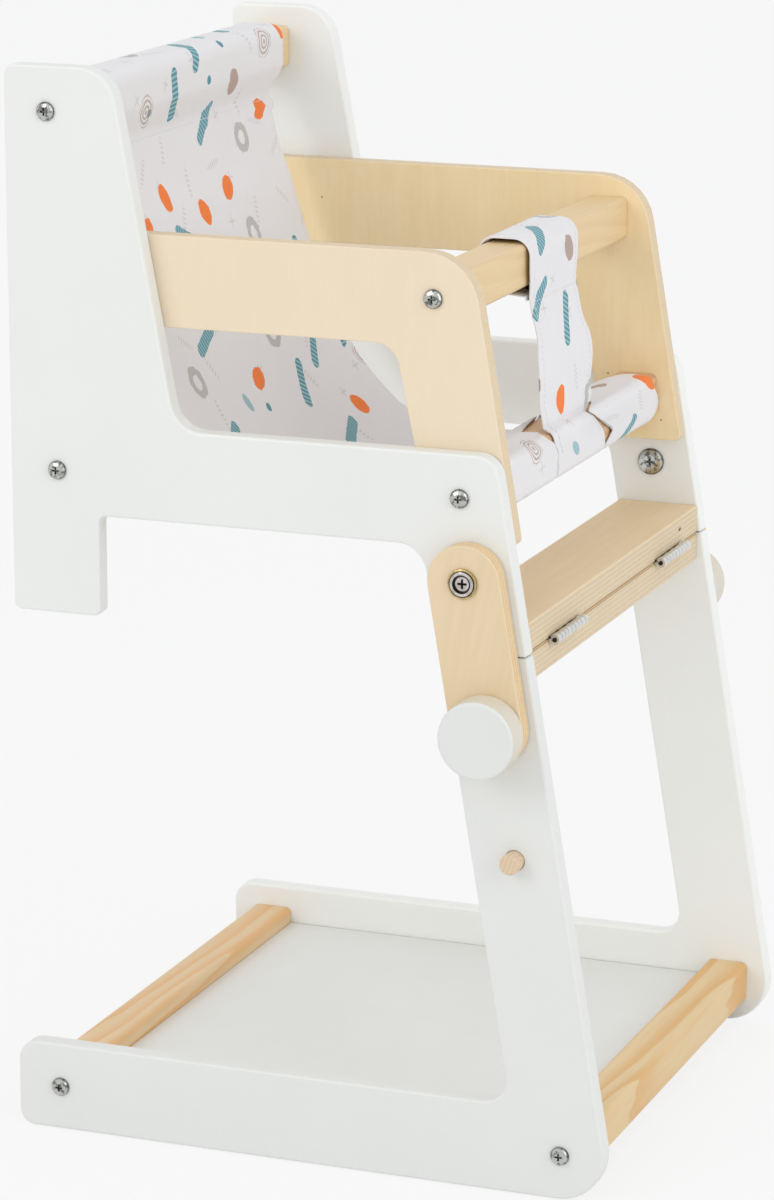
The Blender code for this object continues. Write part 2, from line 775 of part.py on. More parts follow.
def cross_cutter(centre, top, side):
    """A tapered cross for a driver, sunk into a head whose crown is at x = top."""
    arm = CROSS_ARM / 2
    half = CROSS_WIDTH / 2
    plus = [
        (arm, -half), (arm, half), (half, half), (half, arm), (-half, arm), (-half, half),
        (-arm, half), (-arm, -half), (-half, -half), (-half, -arm), (half, -arm), (half, -half),
    ]
    mouth = side * (top + OVERRUN)
    floor = side * (top - CROSS_DEPTH)
    mesh = prism([centre + Vector(spot) for spot in plus], floor, mouth)
    deep = [vert for vert in mesh.verts if abs(vert.co.x - floor) < MERGE]
    about = Matrix.Translation(-place(floor, centre.x, centre.y))
    bmesh.ops.scale(mesh, verts=deep, vec=[CROSS_TAPER_SHARE] * 3, space=about)
    return mesh


def dome(base_x, height, radius):
    """The (x, radius) points of a domed head, from its rim to its crown."""
    crown = [(base_x + height * rise, radius * out) for out, rise in DOME_SHARES]
    return crown + [(base_x + height, 0)]


def pan_screw(centre, face_x, depth, side):
    """A pan-head screw through whatever lies between face_x and a bar, which it enters."""
    seat = face_x + FIT
    tip = face_x - depth - SCREW_IN_BAR
    profile = [(tip, 0), (tip + SCREW_POINT * POINT_SHARE, SCREW_RADIUS * POINT_SHARE)]
    profile += [(tip + SCREW_POINT, SCREW_RADIUS), (seat, SCREW_RADIUS)]
    profile += dome(seat, SCREW_HEAD_HEIGHT, SCREW_HEAD_RADIUS)
    mesh = revolved(profile, centre, side, SCREW_SIDES)
    return cut(mesh, cross_cutter(centre, seat + SCREW_HEAD_HEIGHT, side))


def peg(centre, side):
    foot = OUTER_X - PEG_SEAT
    end = OUTER_X + PEG_REACH
    profile = [(foot, 0), (foot, PEG_RADIUS), (end - PEG_CHAMFER, PEG_RADIUS)]
    profile += [(end, PEG_RADIUS - PEG_CHAMFER), (end, 0)]
    return revolved(profile, centre, side, SCREW_SIDES)


def dowel(centre, side):
    start = side * (INNER_X - DOWEL_IN_BOARD)
    return rod(centre, DOWEL_RADIUS, start, side * (INNER_X + DOWEL_IN_SIDE))


def pivot_bolt(side):
    """A barrel through the link and the panel, with a cupped head and a bore for the nut."""
    seat = LINK_OUTER_X + FIT
    end = INNER_X + FIT
    top = seat + BOLT_HEAD_HEIGHT
    cup = top - BOLT_CUP_DEPTH
    bore_end = end + BOLT_BORE_DEPTH
    profile = [(bore_end, 0), (bore_end, BOLT_BORE), (end, BOLT_BORE), (end, BOLT_RADIUS)]
    profile += [(seat, BOLT_RADIUS), (seat, BOLT_HEAD_RADIUS)]
    profile += [(seat + (top - seat) / 2, BOLT_HEAD_RADIUS)]
    profile += [(top, (BOLT_HEAD_RADIUS + BOLT_CUP_RADIUS) / 2), (top, BOLT_CUP_RADIUS)]
    profile += [(cup, BOLT_CUP_RADIUS - CROSS_WIDTH / 2), (cup, 0)]
    mesh = revolved(profile, PIVOT, side, BOLT_SIDES)
    return cut(mesh, cross_cutter(PIVOT, cup, side))


def pivot_nut(side):
    """The domed inner head, whose stem screws into the bolt's bore."""
    seat = INNER_X - FIT
    tip = seat + NUT_STEM_LENGTH
    profile = [(tip, 0), (tip, NUT_STEM_RADIUS), (seat, NUT_STEM_RADIUS)]
    profile += [(2 * seat - x, r) for x, r in dome(seat, NUT_HEAD_HEIGHT, NUT_HEAD_RADIUS)]
    mesh = revolved(profile, PIVOT, side, BOLT_SIDES)
    crown = NUT_HEAD_HEIGHT - seat
    return cut(mesh, cross_cutter(PIVOT, crown, -side))


# Side links


def in_link(point, fold):
    """A point of the base, seen from the link, when the chair is folded by an angle."""
    moved = PIN + turned(point - PIN, fold)
    angle = LINK_START + LINK_TURN * fold / math.pi
    return turned(moved - PIVOT, -angle)


def peg_path(point, folds):
    """Where a peg lies in the link at each fold, until it is clear of the link's round end."""
    hook = Vector((LINK_LENGTH, 0))
    reach = LINK_HALF_WIDTH + PEG_RADIUS + OVERRUN
    path = []
    for fold in folds:
        path.append(in_link(point, fold))
        if (path[-1] - hook).length > reach:
            return path
    return path


def beside(path, distance):
    """The path moved sideways, to its left where the distance is positive."""
    shifted = []
    for i, point in enumerate(path):
        way = path[min(i + 1, len(path) - 1)] - path[max(i - 1, 0)]
        shifted.append(point + Vector((-way.y, way.x)).normalized() * distance)
    return shifted


def hook_outline():
    """The mouth that lets the upper peg out and the lower peg in as the chair folds."""
    steps = [math.pi * i / HOOK_PATH_STEPS for i in range(HOOK_PATH_STEPS + 1)]
    slack = PEG_RADIUS + HOOK_CLEARANCE
    out = beside(peg_path(HIGH_PEG, steps), -slack)
    entry = beside(peg_path(LOW_PEG, steps[::-1]), slack)
    hook = Vector((LINK_LENGTH, 0))
    start = entry[0] - hook
    turn = (out[0] - hook).angle_signed(start)
    turn = turn if turn > 0 else turn + math.tau
    count = round(turn / ARC_STEP)
    arc = [hook + turned(start, turn * i / count) for i in range(1, count)]
    return [*reversed(entry), *arc, *out]


def from_link(point):
    return PIVOT + turned(point, LINK_START)


def latch_link(side):
    """A plywood link with a bored head and, behind its knob, an open hook."""
    low = -LINK_HALF_WIDTH
    high = LINK_LENGTH + LINK_HALF_WIDTH
    ends = [(low, low), (high, low), (high, -low), (low, -low)]
    corners = [(*from_link(Vector(end)), LINK_HALF_WIDTH - MERGE) for end in ends]
    inner = side * LINK_INNER_X
    outer = side * LINK_OUTER_X
    mesh = prism(rounded(corners), inner, outer)
    bmesh.ops.remove_doubles(mesh, verts=mesh.verts, dist=MERGE * 4)
    ease_rims(mesh, LINK_EASE)
    across = (inner - side * OVERRUN, outer + side * OVERRUN)
    hook = prism([from_link(point) for point in hook_outline()], *across)
    pivot = rod(PIVOT, BOLT_RADIUS + FIT, *across, SCREW_SIDES)
    return cut(cut(mesh, hook, pivot), knob_screw_shape(side, FIT))


def knob_screw_shape(side, more=0.0):
    """The countersunk screw that holds the knob, from the link's inner face."""
    centre = from_link(Vector((LINK_LENGTH - KNOB_SCREW_OFFSET, 0)))
    face = LINK_INNER_X + FIT - more * 2
    tip = LINK_OUTER_X + FIT + KNOB_SCREW_REACH + more
    profile = [(face, 0), (face, KNOB_SCREW_HEAD + more)]
    profile += [(LINK_INNER_X + FIT, KNOB_SCREW_HEAD + more)] if more else []
    profile += [(LINK_INNER_X + FIT + KNOB_SCREW_SINK, KNOB_SCREW_RADIUS + more)]
    profile += [(tip, KNOB_SCREW_RADIUS + more), (tip, 0)]
    return revolved(profile, centre, side, ROD_SIDES)


def latch_knob(side):
    """A painted disc over the link's hooked end."""
    low = LINK_OUTER_X + FIT
    high = low + KNOB_THICKNESS
    rim = KNOB_RADIUS - KNOB_ROUND
    turns = [math.pi / 2 * i / KNOB_ROUND_STEPS for i in range(KNOB_ROUND_STEPS + 1)]
    arc = [(KNOB_ROUND * math.sin(turn), KNOB_ROUND * math.cos(turn)) for turn in turns]
    profile = [(low, 0)]
    profile += [(low + KNOB_ROUND - out, rim + along) for along, out in arc]
    profile += [(high - KNOB_ROUND + out, rim + along) for along, out in reversed(arc)]
    profile += [(high, 0)]
    centre = from_link(Vector((LINK_LENGTH, 0)))
    mesh = revolved(profile, centre, side, KNOB_SIDES)
    return cut(mesh, knob_screw_shape(side, FIT))


# Cloth

SLING_HALF_WIDTH = ARM_INNER_X - SLING_INSET
LAYER = CLOTH_THICKNESS + FLAP_GAP


def spline(points, per_span=8):
    """A smooth curve through the points."""
    ends = [points[0] * 2 - points[1], *points, points[-1] * 2 - points[-2]]
    curve = [points[0]]
    for a, b, c, d in zip(ends, ends[1:], ends[2:], ends[3:]):
        for i in range(1, per_span + 1):
            t = i / per_span
            bend = (a * 2 - b * 5 + c * 4 - d) * t * t + (b * 3 - a - c * 3 + d) * t * t * t
            curve.append((b * 2 + (c - a) * t + bend) / 2)
    return curve


def resampled(path, count):
    """The path as count + 1 points an equal distance apart."""
    lengths = [0.0]
    for first, second in zip(path, path[1:]):
        lengths.append(lengths[-1] + (second - first).length)
    points = []
    i = 0
    for step in range(count + 1):
        wanted = lengths[-1] * step / count
        while i < len(path) - 2 and lengths[i + 1] < wanted:
            i += 1
        span = lengths[i + 1] - lengths[i]
        points.append(path[i].lerp(path[i + 1], (wanted - lengths[i]) / span))
    return points


def sleeve_loop(bar, slack, corner):
    """Where cloth runs round a bar: a square with round corners, anticlockwise from the front."""
    half = BAR_SIZE / 2 + CLOTH_CLEARANCE + CLOTH_THICKNESS / 2 + slack
    loop = []
    for quarter in range(4):
        start = quarter * math.pi / 2
        middle = bar + turned(Vector((half - corner, half - corner)), start)
        for step in range(SLEEVE_ARC_STEPS + 1):
            angle = start + math.pi / 2 * step / SLEEVE_ARC_STEPS
            loop.append(middle + turned(Vector((corner, 0)), angle))
        flat = turned(Vector((0, 2 * (half - corner))), start + math.pi / 2)
        loop += [loop[-1] + flat * part / SLEEVE_FLAT_STEPS for part in range(1, SLEEVE_FLAT_STEPS)]
    return loop


def touch(loop, point, hand):
    """The number of the loop's point that a taut line meets on its left, hand 1, or right, -1."""
    ahead = sum(loop, Vector((0, 0))) / len(loop) - point

    def bearing(i):
        way = loop[i] - point
        return hand * math.atan2(ahead.x * way.y - ahead.y * way.x, ahead.dot(way))

    return max(range(len(loop)), key=bearing)


def along_loop(loop, start, end, hand):
    """The loop's points from one number to another, anticlockwise for hand 1, else clockwise."""
    count = (end - start) * hand % len(loop)
    return [loop[(start + hand * i) % len(loop)] for i in range(count + 1)]


def share_at(table, where):
    """The value between a table's rows at a share of the way along it."""
    for (a, first), (b, second) in zip(table, table[1:]):
        if where <= b:
            return first + (second - first) * (where - a) / (b - a)
    return table[-1][1]


def lengths_along(path):
    lengths = [0.0]
    for first, second in zip(path, path[1:]):
        lengths.append(lengths[-1] + (second - first).length)
    return lengths


def hanging_path():
    """The hanging cloth in side view, from its seam at the back bar to the front bar.

    Also gives the loop round the front bar, and the number of the point where cloth meets it.
    """
    knot = BACK_BAR + Vector((SLING_KNOT_AHEAD, -SLING_KNOT_DROP))
    span = FRONT_SEAT_BAR - knot
    hang = [knot + Vector((span.x * out, span.y * down)) for out, down in SLING_HANG_SHARES]
    loop = sleeve_loop(FRONT_SEAT_BAR, 0, TIGHT_ROUND)
    under = touch(loop, hang[-1], -1)
    return [knot, *hang, loop[under]], loop, under


def sling_path():
    """The cloth in side view: round the back bar, down, under the front bar and back over it.

    Also says where the hanging part starts and ends.
    """
    hanging, loop, under = hanging_path()
    knot = hanging[0]
    way = (hanging[1] - knot).normalized()
    rear_knot = knot + Vector((way.y, -way.x)) * LAYER
    sleeve = sleeve_loop(BACK_BAR, SLEEVE_SLACK, SLEEVE_ROUND)
    behind = touch(sleeve, rear_knot, 1)
    ahead = touch(sleeve, knot, -1)
    path = [rear_knot + way * SLING_FLAP, rear_knot]
    path += along_loop(sleeve, behind, ahead, -1)
    first = len(path)
    path += resampled(spline(hanging), SLING_HANG_STEPS)
    last = len(path) - 1
    way = (hanging[-2] - hanging[-1]).normalized()
    tab_knot = hanging[-1] + way * TAB_KNOT_BACK + Vector((way.y, -way.x)) * LAYER
    path += along_loop(loop, under, touch(loop, tab_knot, 1), 1)[1:]
    path += [tab_knot, tab_knot + way * SLING_FLAP]
    return path, first, last


def strap_path():
    """The crotch strap in side view: from under the front bar up and round the tray bar."""
    loop, under = hanging_path()[1:]
    path = along_loop(loop, under, SLEEVE_ARC_STEPS, 1)
    path[0] += (path[1] - path[0]).normalized() * STRAP_START_GAP
    knot = TRAY_BAR + Vector((STRAP_KNOT_AHEAD, -STRAP_KNOT_DROP))
    rise = knot - path[-1]
    bow = Vector((rise.y, -rise.x))
    middle = [path[-1] + rise * way + bow * out for way, out in STRAP_BOW_SHARES]
    path += resampled(spline([path[-1], *middle, knot]), STRAP_RISE_STEPS)[1:]
    sleeve = sleeve_loop(TRAY_BAR, SLEEVE_SLACK, SLEEVE_ROUND)
    down = (path[-2] - knot).normalized()
    rear_knot = knot + Vector((down.y, -down.x)) * LAYER
    path += along_loop(sleeve, touch(sleeve, knot, -1), touch(sleeve, rear_knot, 1), 1)
    path += [rear_knot, rear_knot + down * STRAP_FLAP]
    return path


def cloth(points, kept):
    """A closed sheet from a grid of points: two skins a cloth's thickness apart, and rims."""
    rows = len(points)
    columns = len(points[0])
    mesh = bmesh.new()
    skins = ([], [])
    for i in range(rows):
        for skin in skins:
            skin.append([])
        for j in range(columns):
            along = points[min(i + 1, rows - 1)][j] - points[max(i - 1, 0)][j]
            across = points[i][min(j + 1, columns - 1)] - points[i][max(j - 1, 0)]
            out = along.cross(across).normalized() * CLOTH_THICKNESS / 2
            skins[0][-1].append(mesh.verts.new(points[i][j] + out))
            skins[1][-1].append(mesh.verts.new(points[i][j] - out))
    cells = {(i, j) for i in range(rows - 1) for j in range(columns - 1) if kept(i, j)}
    for i, j in cells:
        around = [(i, j), (i + 1, j), (i + 1, j + 1), (i, j + 1)]
        mesh.faces.new([skins[0][a][b] for a, b in around])
        mesh.faces.new([skins[1][a][b] for a, b in reversed(around)])
        beyond = [(i, j - 1), (i + 1, j), (i, j + 1), (i - 1, j)]
        for k, next_cell in enumerate(beyond):
            if next_cell not in cells:
                (a, b), (c, d) = around[k], around[(k + 1) % 4]
                rim = (skins[0][c][d], skins[0][a][b], skins[1][a][b], skins[1][c][d])
                mesh.faces.new(rim)
    loose = [vert for vert in mesh.verts if not vert.link_faces]
    bmesh.ops.delete(mesh, geom=loose, context="VERTS")
    bmesh.ops.recalc_face_normals(mesh, faces=mesh.faces)
    return mesh


def tab_edges(side, where):
    """The inner and outer edge of a front tab, a share of the way along it."""
    table = TAB_EDGE_LEFT_SHARES if side > 0 else TAB_EDGE_RIGHT_SHARES
    inner = STRAP_HALF_WIDTH + STRAP_FLARE + TAB_GAP + TAB_OPENING * share_at(table, where)
    ear = (SLING_DRAW_IN + TAB_EAR) * share_at(TAB_EAR_SHARES, where)
    return inner, SLING_HALF_WIDTH - SLING_DRAW_IN + ear


def sling():
    """The seat cloth, drawn in below its seam, with two tabs round the front bar."""
    path, first, last = sling_path()
    lengths = lengths_along(path)
    lowest = min(point.y for point in path)
    highest = path[first].y
    grid = []
    for i, spot in enumerate(path):
        half = SLING_HALF_WIDTH if 1 < i < first else SLING_HALF_WIDTH - SLING_DRAW_IN
        tab = max(0.0, (lengths[i] - lengths[last]) / (lengths[-1] - lengths[last]))
        down = max(0.0, min(1.0, (highest - spot.y) / (highest - lowest)))
        behind = FRONT_SEAT_BAR.x - SLING_FREE_END - spot.x
        free = down * max(0.0, min(1.0, behind / SLING_DROP_OFF))
        row = []
        for share in SLING_COLUMN_SHARES:
            x = half * share
            if i > last and abs(share) >= TAB_SHARE:
                inner, outer = tab_edges(share, tab)
                outward = (abs(share) - TAB_SHARE) / (1 - TAB_SHARE)
                x = math.copysign(inner + (outer - inner) * outward, share)
            lift = SLING_EDGE_CURL * share**4 - SLING_SAG * (1 - share**2)
            row.append(place(x, spot.x, spot.y + lift * free))
        grid.append(row)

    def kept(i, j):
        between = all(abs(SLING_COLUMN_SHARES[k]) <= TAB_SHARE for k in (j, j + 1))
        return i < last or not between

    return cloth(grid, kept)


def crotch_strap():
    """The strap from the front bar to the tray bar, a little wider half way up."""
    path = strap_path()
    last = len(path) - 1
    grid = []
    for i, spot in enumerate(path):
        half = STRAP_HALF_WIDTH + STRAP_FLARE * math.sin(math.pi * i / last)
        grid.append([place(half * share, spot.x, spot.y) for share in STRAP_COLUMN_SHARES])
    return cloth(grid, lambda i, j: True)


# The chair


def build_base():
    piece("base_rear_bar", cross_bar(BASE_REAR_BAR, INNER_X - FIT, 1), PINE)
    piece("base_front_bar", cross_bar(BASE_FRONT_BAR, INNER_X - FIT, -1), PINE)
    piece("base_shelf", shelf(), WHITE_PAINT)
    piece("base_board", hinged_board(base_board_middle(), False), BOARD_WOOD)
    for side, hand in ((-1, "right"), (1, "left")):
        piece(f"base_side_{hand}", base_side(side), WHITE_PAINT)
        piece(f"high_peg_{hand}", peg(HIGH_PEG, side), PINE)
        piece(f"low_peg_{hand}", peg(LOW_PEG, side), PINE)
        for name, bar in (("rear", BASE_REAR_BAR), ("front", BASE_FRONT_BAR)):
            screw = pan_screw(bar, OUTER_X, SIDE_THICKNESS, side)
            piece(f"base_{name}_screw_{hand}", screw, NICKEL)
        for name, centre in zip(("rear", "front"), dowel_centres(base_board_middle())):
            piece(f"base_board_{name}_dowel_{hand}", dowel(centre, side), PINE)
        piece(f"lower_hinge_leaf_{hand}", hinge_leaf(side, False), NICKEL)
        piece(f"hinge_pin_{hand}", hinge_pin(side), NICKEL)


def build_seat(fold):
    piece("back_bar", cross_bar(BACK_BAR, INNER_X - FIT), PINE, fold)
    piece("rear_seat_bar", cross_bar(REAR_SEAT_BAR, INNER_X - FIT), PINE, fold)
    piece("front_seat_bar", cross_bar(FRONT_SEAT_BAR, ARM_INNER_X - FIT), PINE, fold)
    piece("tray_bar", cross_bar(TRAY_BAR, ARM_INNER_X - FIT), PINE, fold)
    piece("seat_board", hinged_board(seat_board_middle(), True), BOARD_WOOD, fold)
    piece("sling", sling(), PRINTED_CLOTH, fold)
    piece("crotch_strap", crotch_strap(), PRINTED_CLOTH, fold)
    through_arm = SIDE_THICKNESS + FIT + ARM_THICKNESS
    arm_face = INNER_X - FIT
    screws = (
        ("back_bar", BACK_BAR, OUTER_X, SIDE_THICKNESS),
        ("rear_seat_bar", REAR_SEAT_BAR, OUTER_X, SIDE_THICKNESS),
        ("front_seat_bar", FRONT_SEAT_BAR, OUTER_X, through_arm),
        ("tray_bar", TRAY_BAR, arm_face, ARM_THICKNESS),
    )
    for side, hand in ((-1, "right"), (1, "left")):
        piece(f"seat_side_{hand}", seat_side(side), WHITE_PAINT, fold)
        piece(f"armrest_{hand}", armrest(side), PLYWOOD, fold)
        for name, bar, face, depth in screws:
            piece(f"{name}_screw_{hand}", pan_screw(bar, face, depth, side), NICKEL, fold)
        for name, centre in zip(("rear", "front"), dowel_centres(seat_board_middle())):
            piece(f"seat_board_{name}_dowel_{hand}", dowel(centre, side), PINE, fold)
        piece(f"upper_hinge_leaf_{hand}", hinge_leaf(side, True), NICKEL, fold)
        piece(f"pivot_bolt_{hand}", pivot_bolt(side), AGED_STEEL, fold)
        piece(f"pivot_nut_{hand}", pivot_nut(side), NICKEL, fold)


def build_latches(fold):
    for side, hand in ((-1, "right"), (1, "left")):
        middle = side * (LINK_INNER_X + LINK_OUTER_X) / 2
        axis = axis_empty(f"latch_axis_{hand}", PIVOT, middle, fold)
        piece(f"latch_link_{hand}", latch_link(side), PLYWOOD, axis)
        piece(f"latch_knob_{hand}", latch_knob(side), WHITE_PAINT, axis)
        piece(f"latch_knob_screw_{hand}", knob_screw_shape(side), NICKEL, axis)


def main():
    for old in list(bpy.data.objects):
        bpy.data.objects.remove(old)
    build_base()
    fold = axis_empty("fold_axis", PIN)
    build_seat(fold)
    build_latches(fold)


main()
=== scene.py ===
"""The looks of the doll high chair: finishes, printed cloth, light and camera.

Lengths are metres in the frame of the CAD. The seated doll's left is +X, forward is -Y, up is +Z.
"""

import bisect
import math

import bmesh
import bpy
from mathutils import Matrix, Vector, noise


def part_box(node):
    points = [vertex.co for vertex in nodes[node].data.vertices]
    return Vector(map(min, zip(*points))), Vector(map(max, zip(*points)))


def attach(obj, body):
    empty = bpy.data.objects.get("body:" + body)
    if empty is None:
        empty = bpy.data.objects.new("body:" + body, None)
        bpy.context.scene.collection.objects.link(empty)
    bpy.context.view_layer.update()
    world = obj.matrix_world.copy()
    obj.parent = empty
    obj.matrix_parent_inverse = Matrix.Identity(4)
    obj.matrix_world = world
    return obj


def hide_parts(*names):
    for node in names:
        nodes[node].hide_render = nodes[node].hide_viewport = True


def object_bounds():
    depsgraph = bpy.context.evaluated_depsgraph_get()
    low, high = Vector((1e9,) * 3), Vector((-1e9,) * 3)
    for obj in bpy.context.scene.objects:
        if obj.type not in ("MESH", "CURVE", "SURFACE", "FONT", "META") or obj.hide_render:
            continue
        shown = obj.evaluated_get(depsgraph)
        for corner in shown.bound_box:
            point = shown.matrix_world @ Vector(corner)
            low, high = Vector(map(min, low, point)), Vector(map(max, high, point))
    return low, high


# Camera, fitted to the photograph
CAMERA_PLACE = (-2.0412, -0.7751, 0.8031)
CAMERA_YAW = 21.086
CAMERA_PITCH = -14.10
CAMERA_LENS = 131.71
SENSOR = 36.0

# Cloth
CLOTH_THICKNESS = 0.0011
SLEEVE_CLEARANCE = 0.0004
LAYER_GAP = 0.0004
SLEEVE_SLACK = 0.001
SLEEVE_ROUND = 0.007
TIGHT_ROUND = 0.004
SLING_INSET = 0.005
SLING_DRAW_IN = 0.008
SLING_KNOT_DROP = 0.0214
SLING_KNOT_AHEAD = 0.0077
SLING_FLAP = 0.010
SLING_EDGE_CURL = 0.005
SLING_SAG = 0.004
SLING_FREE_END = 0.024
SLING_DROP_OFF = 0.030
SLING_CURL_END = 0.060
SLING_CURL_FADE = 0.045
SLING_DRAW_REACH = 0.012
SLING_RIPPLE = 0.0014
SLING_COLUMN = 0.004
TAB_KNOT_BACK = 0.033
TAB_SHARE = 0.36
STRAP_START_GAP = 0.0006
STRAP_HALF_WIDTH = 0.036
STRAP_SLEEVE_SLACK = 0.0014
STRAP_SLEEVE_ROUND = 0.0085
STRAP_KNOT_DROP = 0.0150
STRAP_KNOT_AHEAD = 0.013
STRAP_FLAP = 0.002
STRAP_COLUMN = 0.003
STRAP_PRINT_OFFSET = (0.52, 0.23)
EDGE_THICKNESS = 0.0006
SHARP_ANGLE = math.radians(55)
SAME_SHARE = 1e-6
HEM_WIDTH = 0.008
HEM_RISE = 0.0003
HEM_STITCH_SHARE = 0.86
STRAP_HEM_WIDTH = HEM_WIDTH * 0.7
STRAP_BARE_ROWS = (12, 5)
GATHER_HEIGHT = 0.0009
GATHER_REACH = 0.013
STITCH_PITCH = 0.0031
STITCH_LENGTH = 0.0023
STITCH_RADIUS = 0.00018
STITCH_CORNERS = 6

# A stitch, as (way along it, share of its radius, radii that it stands out of the cloth)
STITCH_FORM = ((0.0, 0.45, -0.9), (0.2, 1.0, -0.35), (0.8, 1.0, -0.35), (1.0, 0.45, -0.9))

SLING_HANG_SHARES = (
    (0.032, 0.186), (0.059, 0.283), (0.091, 0.422), (0.118, 0.533), (0.173, 0.717),
    (0.227, 0.880), (0.271, 0.972), (0.344, 1.080), (0.389, 1.127), (0.477, 1.150),
    (0.575, 1.157), (0.697, 1.147), (0.820, 1.118), (0.893, 1.099),
)
STRAP_BOW_SHARES = (
    (0.024, -0.040), (0.095, -0.050), (0.193, -0.045), (0.372, -0.005), (0.552, 0.010),
    (0.878, -0.005),
)

# How far out the cloth's edges lie, by the way round the front bar from below, a tab being 1: the
# tabs' outer edges as shares of the sling's half width, the others of the strap's
STRAP_NEAR_SHARES = (
    (0.0, 1.022), (0.16, 1.032), (0.20, 1.09), (0.255, 1.21), (0.29, 1.20), (0.336, 1.13),
    (0.38, 1.10), (0.41, 1.05),
)
STRAP_FAR_SHARES = (
    (0.0, 1.0), (0.06, 0.99), (0.11, 0.965), (0.16, 0.87), (0.22, 0.66), (0.27, 0.46),
    (0.31, 0.33), (0.345, 0.62), (0.38, 0.97), (0.41, 1.05),
)
TAB_NEAR_SHARES = (
    (0.0, 1.03), (0.16, 1.04), (0.20, 1.10), (0.255, 1.23), (0.30, 1.44), (0.336, 1.40),
    (0.39, 1.25), (0.44, 1.26), (0.48, 1.31), (0.505, 0.94), (0.53, 0.47), (0.56, 0.10),
    (1.0, 0.10),
)
TAB_FAR_SHARES = (
    (0.0, 1.015), (0.05, 1.02), (0.125, 1.32), (0.16, 1.14), (0.22, 0.82), (0.27, 0.575),
    (0.31, 0.44), (0.345, 0.70), (0.38, 1.02), (0.42, 1.10), (0.48, 1.10), (0.56, 0.10),
    (1.0, 0.10),
)
TAB_OUTER_SHARES = (
    (0.0, 0.93), (0.055, 0.98), (0.09, 1.02), (0.13, 1.034), (0.17, 1.02), (0.21, 0.99),
    (0.26, 0.955), (0.36, 0.93), (0.44, 0.935), (0.48, 0.90), (0.525, 0.772), (0.545, 0.65),
    (0.60, 0.625), (1.0, 0.65),
)

# The strap's half width over the rise from one bar's middle to the other's
STRAP_WIDTH_SHARES = (
    (0.0, 1.03), (0.19, 1.05), (0.33, 1.115), (0.42, 1.135), (0.50, 1.11), (0.545, 1.065),
    (0.595, 0.98), (0.66, 0.945), (0.77, 0.955), (0.87, 0.958), (0.98, 1.0), (1.2, 1.0),
)
STRAP_BAR_SHARE = 0.41
SLEEVE_ARC_STEPS = 8
SLEEVE_FLAT_STEPS = 8
SPLINE_STEPS = 16
CLOTH_STEP = 0.0035

# Wood
PLY_LAYERS = 7
BOARD_LAYERS = 11

# Small marks: brads in the armrests' inner faces as (u, z), a void in a ply as (x, z), painted
# shade in the seam between the boards, and painted shade along the shelf's joint
BRADS = ((0.221, 0.3547), (0.2507, 0.3316), (0.0586, 0.4393))
BRAD_RADIUS = 0.0006
BOARD_VOID = (0.104, 0.2787)
VOID_SIZE = (0.0024, 0.0010)
SEAM_SHADE_REACH = 0.0013
JOINT_SHADE_REACH = 0.0010

# Colours, linear, and shares of the paint's colour
PAINT_COLOUR = (0.819, 0.828, 0.803)
KNOB_SHARE = 0.93
# The knob's rim wall: a painted reflection of the warm wood beside it
KNOB_WALL_REFLECTION = (0.72, 0.675, 0.57)
# Painted shade along the shelf's joint with the far side
JOINT_SHADE_COLOUR = (0.40, 0.37, 0.30)
# The base's sides and shelf take this darker share of the paint; on the shelf it is painted shade
# from the seat above.
BASE_SHARE = 0.965
# The far side takes a lighter copy of the paint: painted light for the light its inner faces lack
FAR_LIGHT_SHARE = 1.10
PLY_GLUE = (0.47, 0.24, 0.075)
CLOTH_COLOUR = (0.875, 0.858, 0.872)
THREAD_COLOUR = (0.885, 0.868, 0.88)
TEAL = (0.085, 0.30, 0.37)
PALE_TEAL = (0.36, 0.56, 0.60)
ORANGE = (0.98, 0.215, 0.022)
TAUPE = (0.50, 0.37, 0.31)
GREY = (0.56, 0.54, 0.52)
FAINT = (0.70, 0.675, 0.68)
NICKEL_COLOUR = (0.74, 0.745, 0.73)
HEAD_COLOUR = (0.56, 0.57, 0.54)
# The heads' dark colour: painted shade in the cross, a painted dark reflection round the rim, and
# dark blotches
HEAD_DARK_COLOUR = (0.05, 0.052, 0.048)
# The hinge pins: near black, painted shade for the dark hole at the knuckles' end
PIN_HOLE_SHADE_COLOUR = (0.06, 0.045, 0.035)
# Painted shade in the bolt's grooves and cross
BOLT_SHADE_COLOUR = (0.035, 0.022, 0.012)
BRASS_COLOUR = (0.62, 0.46, 0.20)
# Steel of the bolt's middle, and a painted highlight on its lip
BOLT_STEEL_AND_HIGHLIGHT = (0.66, 0.63, 0.60)
MARK_COLOUR = (0.10, 0.055, 0.02)
# Painted shade in the gap between the boards
SEAM_SHADE_COLOUR = (0.30, 0.15, 0.028)

# Metal: its scratches, then in heads from the middle: a cross's half width and ends, painted shade,
# and a rim, a painted dark reflection, from where to where each fades, and the bolt's rings from
# the outside in
SCRATCHES = (900.0, 4200.0, 600.0)
SCRATCH_DEPTH = 0.00003
HEAD_CROSS = ((0.07, 0.045), (0.23, 0.19))
HEAD_RIM = (0.42, 0.48)
BOLT_CROSS = ((0.05, 0.03), (0.18, 0.15))
# The bolt's rings: dark ones are painted shade in the grooves, the outer steel one a painted
# highlight on the lip
BOLT_RINGS = (
    (0.445, BOLT_SHADE_COLOUR), (0.405, BOLT_STEEL_AND_HIGHLIGHT), (0.315, BOLT_SHADE_COLOUR), (0.235, BOLT_STEEL_AND_HIGHLIGHT),
)
RING_FADE = 0.012

